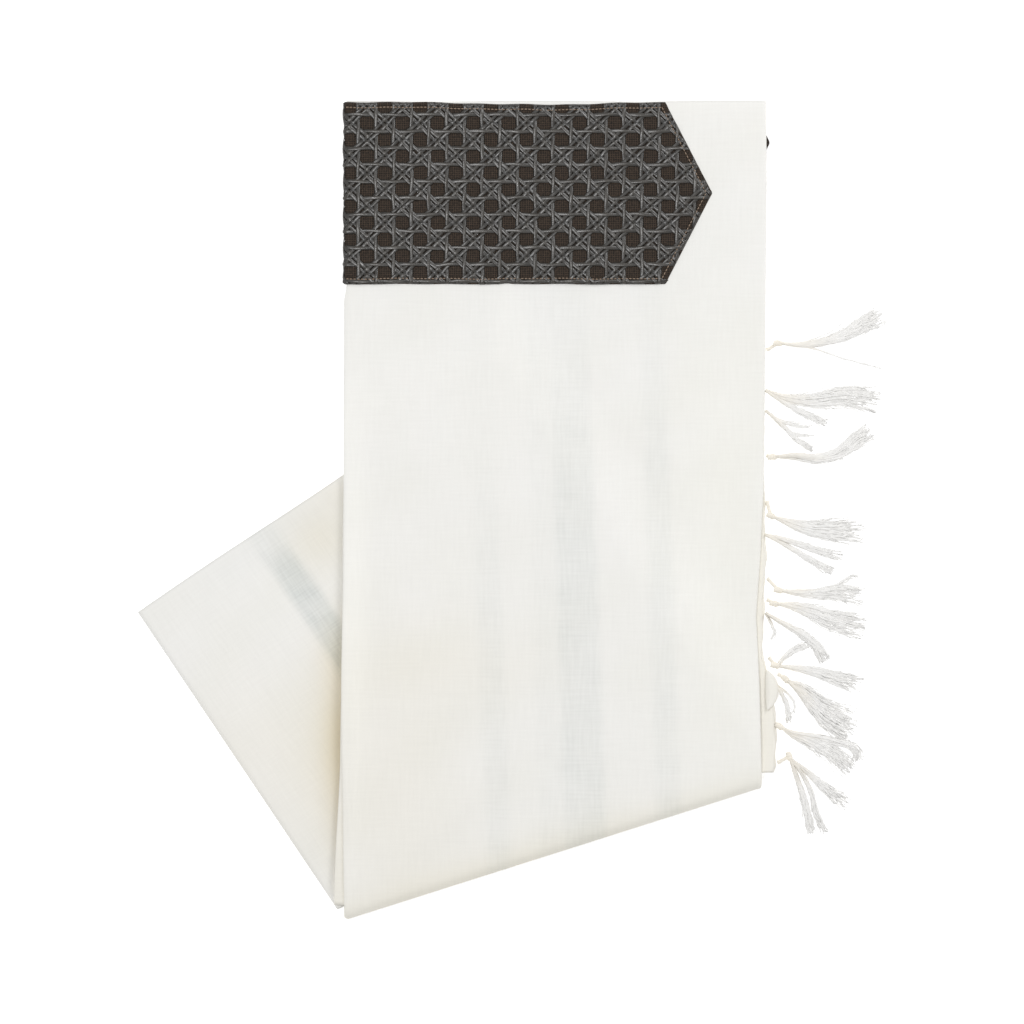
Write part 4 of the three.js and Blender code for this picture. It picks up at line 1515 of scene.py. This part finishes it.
@dataclass
class Fringe:
    """The fourteen tassels along the border, from the top down."""

    fold: Fold
    tassels: tuple[Tassel, ...] = (
        Tassel(1, (178.8, 112.6), (186.4, 117.4), (
            Lock(((206, 116.4), (229, 121.6), (245, 129.6), (260.5, 136.6)), 6.4, 62),
            Lock(((212, 113.6), (233, 106.6), (259, 99.8)), 0.5, 3, 0.4),
        )),
        Tassel(2, (178.6, 84.4), None, (
            Lock(((194, 78.6), (212, 77.4), (234, 79.6), (258, 75.0)), 8.6, 60),
            Lock(((190, 76.4), (204, 68.4), (221, 61.0)), 2.6, 26),
        )),
        Tassel(3, (178.6, 70.2), None, (
            Lock(((190, 59.6), (200, 49.6), (211.5, 42.0)), 2.0, 26),
            Lock(((188, 63.0), (200, 60.0), (213, 59.6)), 2.4, 7, 0.6),
            Lock(((193, 56.0), (202, 53.0), (212, 51.6)), 1.6, 6, 0.6),
        )),
        Tassel(4, (178.6, 38.6), (182.4, 37.6), (
            Lock(((199, 39.0), (213, 37.2), (228, 40.2), (241, 49.0), (251.6, 56.4)), 5.4, 58),
            Lock(((198, 36.2), (214, 33.4), (228, 35.6)), 0.9, 5, 0.6),
        )),
        Tassel(5, (178.8, 6.6), (181.6, -3.6), (
            Lock(((193, -8.0), (207, -12.4), (224, -14.0), (248.5, -14.4)), 8.6, 56),
        )),
        Tassel(6, (178.6, -17.0), None, (
            Lock(((188, -19.4), (202, -24.0), (216, -28.6), (232, -32.6)), 3.0, 26),
            Lock(((188, -22.0), (201, -29.4), (214, -37.0), (225, -43.2)), 2.8, 28),
        )),
        Tassel(7, (179.2, -47.6), (186.8, -55.8), (
            Lock(((198, -57.4), (213, -58.2), (228, -57.0), (247, -60.6)), 6.0, 40),
            Lock(((212, -56.0), (228, -52.4), (238, -46.6), (244, -47.4)), 1.6, 5, 0.6),
        )),
        Tassel(8, (179.0, -62.6), (183.8, -65.2), (
            Lock(((196, -67.0), (210, -71.0), (224, -76.6), (248, -82.0)), 8.6, 56),
        )),
        Tassel(9, (178.6, -72.0), None, (
            Lock(((190, -79.0), (203, -86.4), (213, -94.4), (220, -106.0)), 4.2, 44, 2.4),
            Lock(((182, -80.0), (184, -86.0), (181.6, -91.0)), 1.2, 6),
        )),
        Tassel(10, (180.2, -103.0), (184.6, -108.6), (
            Lock(((198, -110.6), (212, -113.0), (228, -117.4), (246, -122.6)), 5.6, 40),
            Lock(((190, -104.0), (198, -97.4), (208, -94.2)), 2.4, 18),
        )),
        Tassel(11, (186.6, -114.6), (191.8, -118.2), (
            Lock(((202, -127.0), (212, -138.0), (224, -148.0), (240, -156.0)), 8.4, 54, 2.4),
            Lock(((204, -124.0), (220, -136.0), (241, -146.0)), 6.0, 26, 2.0),
        )),
        Tassel(12, (186.0, -122.0), None, (
            Lock(((190, -130.0), (193.6, -139.0), (194.4, -149.4)), 1.8, 16),
            Lock(((194, -129.0), (198.6, -137.0), (194.6, -148.0)), 0.8, 5, 0.6),
        )),
        Tassel(13, (184.6, -149.6), (187.4, -151.2), (
            Lock(((198, -157.6), (210, -162.4), (224, -170.4), (238, -183.0)), 6.4, 48),
            Lock(((200, -156.6), (218, -159.6), (240, -166.6), (243, -176.0)), 4.4, 20),
        )),
        Tassel(14, (186.0, -176.6), (194.2, -172.2), (
            Lock(((199, -185.0), (204, -199.0), (207.4, -214.0), (209.6, -227.0)), 3.0, 34),
            Lock(((203, -184.0), (210, -198.0), (213.6, -213.0), (219.6, -226.4)), 2.4, 22),
            Lock(((208, -184.0), (220, -194.6), (237, -206.6)), 4.2, 26),
        )),
    )

    def build(self, finish: bpy.types.Material) -> list[bpy.types.Object]:
        """Makes every tassel."""
        return [tassel.build(self.fold, finish) for tassel in self.tassels]


# ---------- Studio ----------


@dataclass
class Studio:
    """The camera straight above, a plain white table and soft light all round."""

    image_width: float = 716.8
    centre_y: float = -1.05
    distance: float = 3200.0
    sensor: float = 36.0

    def camera(self) -> None:
        """Makes the camera, which looks straight down with +Y up."""
        data = bpy.data.cameras.new("camera")
        data.sensor_width = self.sensor
        data.lens = self.sensor * (self.distance - 9) / self.image_width
        data.clip_end = 20.0
        eye = bpy.data.objects.new("camera", data)
        eye.location = (0, self.centre_y * MM, self.distance * MM)
        bpy.context.scene.collection.objects.link(eye)
        bpy.context.scene.camera = eye

    def table(self) -> None:
        """Makes the table top: white seamless card, which glows a little so that it stays white."""
        mesh = bpy.data.meshes.new("table_top")
        s = 4.0
        mesh.from_pydata([(-s, -s, 0), (s, -s, 0), (s, s, 0), (-s, s, 0)], [], [(0, 1, 2, 3)])
        tree = NodeTree("white_card")
        shader = tree.add(
            "BsdfPrincipled",
            {
                "Base Color": linear("#f7f7f7"),
                "Roughness": 0.9,
                "Specular IOR Level": 0.1,
                "Emission Color": (1.0, 1.0, 1.0, 1.0),
                "Emission Strength": 0.45,
            },
        )
        mesh.materials.append(tree.finish(shader))
        top = bpy.data.objects.new("table_top", mesh)
        bpy.context.scene.collection.objects.link(top)

    def lamp(self, name: str, place: tuple[float, float, float], size: float, watts: float) -> None:
        """Adds a square soft light that faces the shawl.

        Args:
            name: its name.
            place: where it stands, in metres.
            size: its side, in metres.
            watts: its power.
        """
        data = bpy.data.lights.new(name, "AREA")
        data.shape = "SQUARE"
        data.size = size
        data.energy = watts
        lamp = bpy.data.objects.new(name, data)
        lamp.location = place
        lamp.rotation_euler = Vector(place).to_track_quat("Z", "Y").to_euler()
        bpy.context.scene.collection.objects.link(lamp)

    def light(self) -> None:
        """Sets the soft light: an even sky and soft boxes at the left and the upper right."""
        world = bpy.data.worlds.new("studio")
        world.use_nodes = True
        sky = world.node_tree.nodes["Background"]
        sky.inputs["Color"].default_value = (1.0, 1.0, 1.0, 1.0)
        sky.inputs["Strength"].default_value = 0.5
        bpy.context.scene.world = world
        self.lamp("left_box", (-0.6, 0.12, 2.6), 0.28, 20.0)
        self.lamp("upper_right_box", (1.5, 1.6, 1.8), 1.2, 22.0)
        bpy.context.scene.view_settings.view_transform = "Standard"


def main() -> None:
    """Builds the shawl piece by piece."""
    logging.basicConfig(level=logging.INFO, format="%(message)s")
    studio = Studio()
    studio.camera()
    fold = Fold.from_frame()
    voile = WovenVoile().material("ivory_woven_voile")
    yarn = SilkYarn().material("loose_silk_yarn")
    ground = GroundWeave().material("dark_ground_weave")
    strand = CoatedStrand().material("charcoal_coated_strand")
    thread = SewingThread().material("twisted_sewing_thread")
    FrontStretch(fold).build(voile)
    LOG.info("front stretch made")
    rear = TurnedEnd(fold)
    rear.build(voile)
    LOG.info("turned end made")
    HiddenLayers(fold).build(voile, rear)
    LOG.info("hidden layers made")
    SideFold(fold).build(voile)
    FringedBorder(fold).build(voile)
    LOG.info("side fold and fringed border made")
    NeckBand().build(ground, strand, thread)
    LOG.info("neck band made")
    CornerPatch().build(ground)
    LOG.info("corner patch made")
    made = Fringe(fold).build(yarn)
    LOG.info("%d tassels made", len(made))
    studio.table()
    studio.light()


if __name__ == "__main__":
    main()
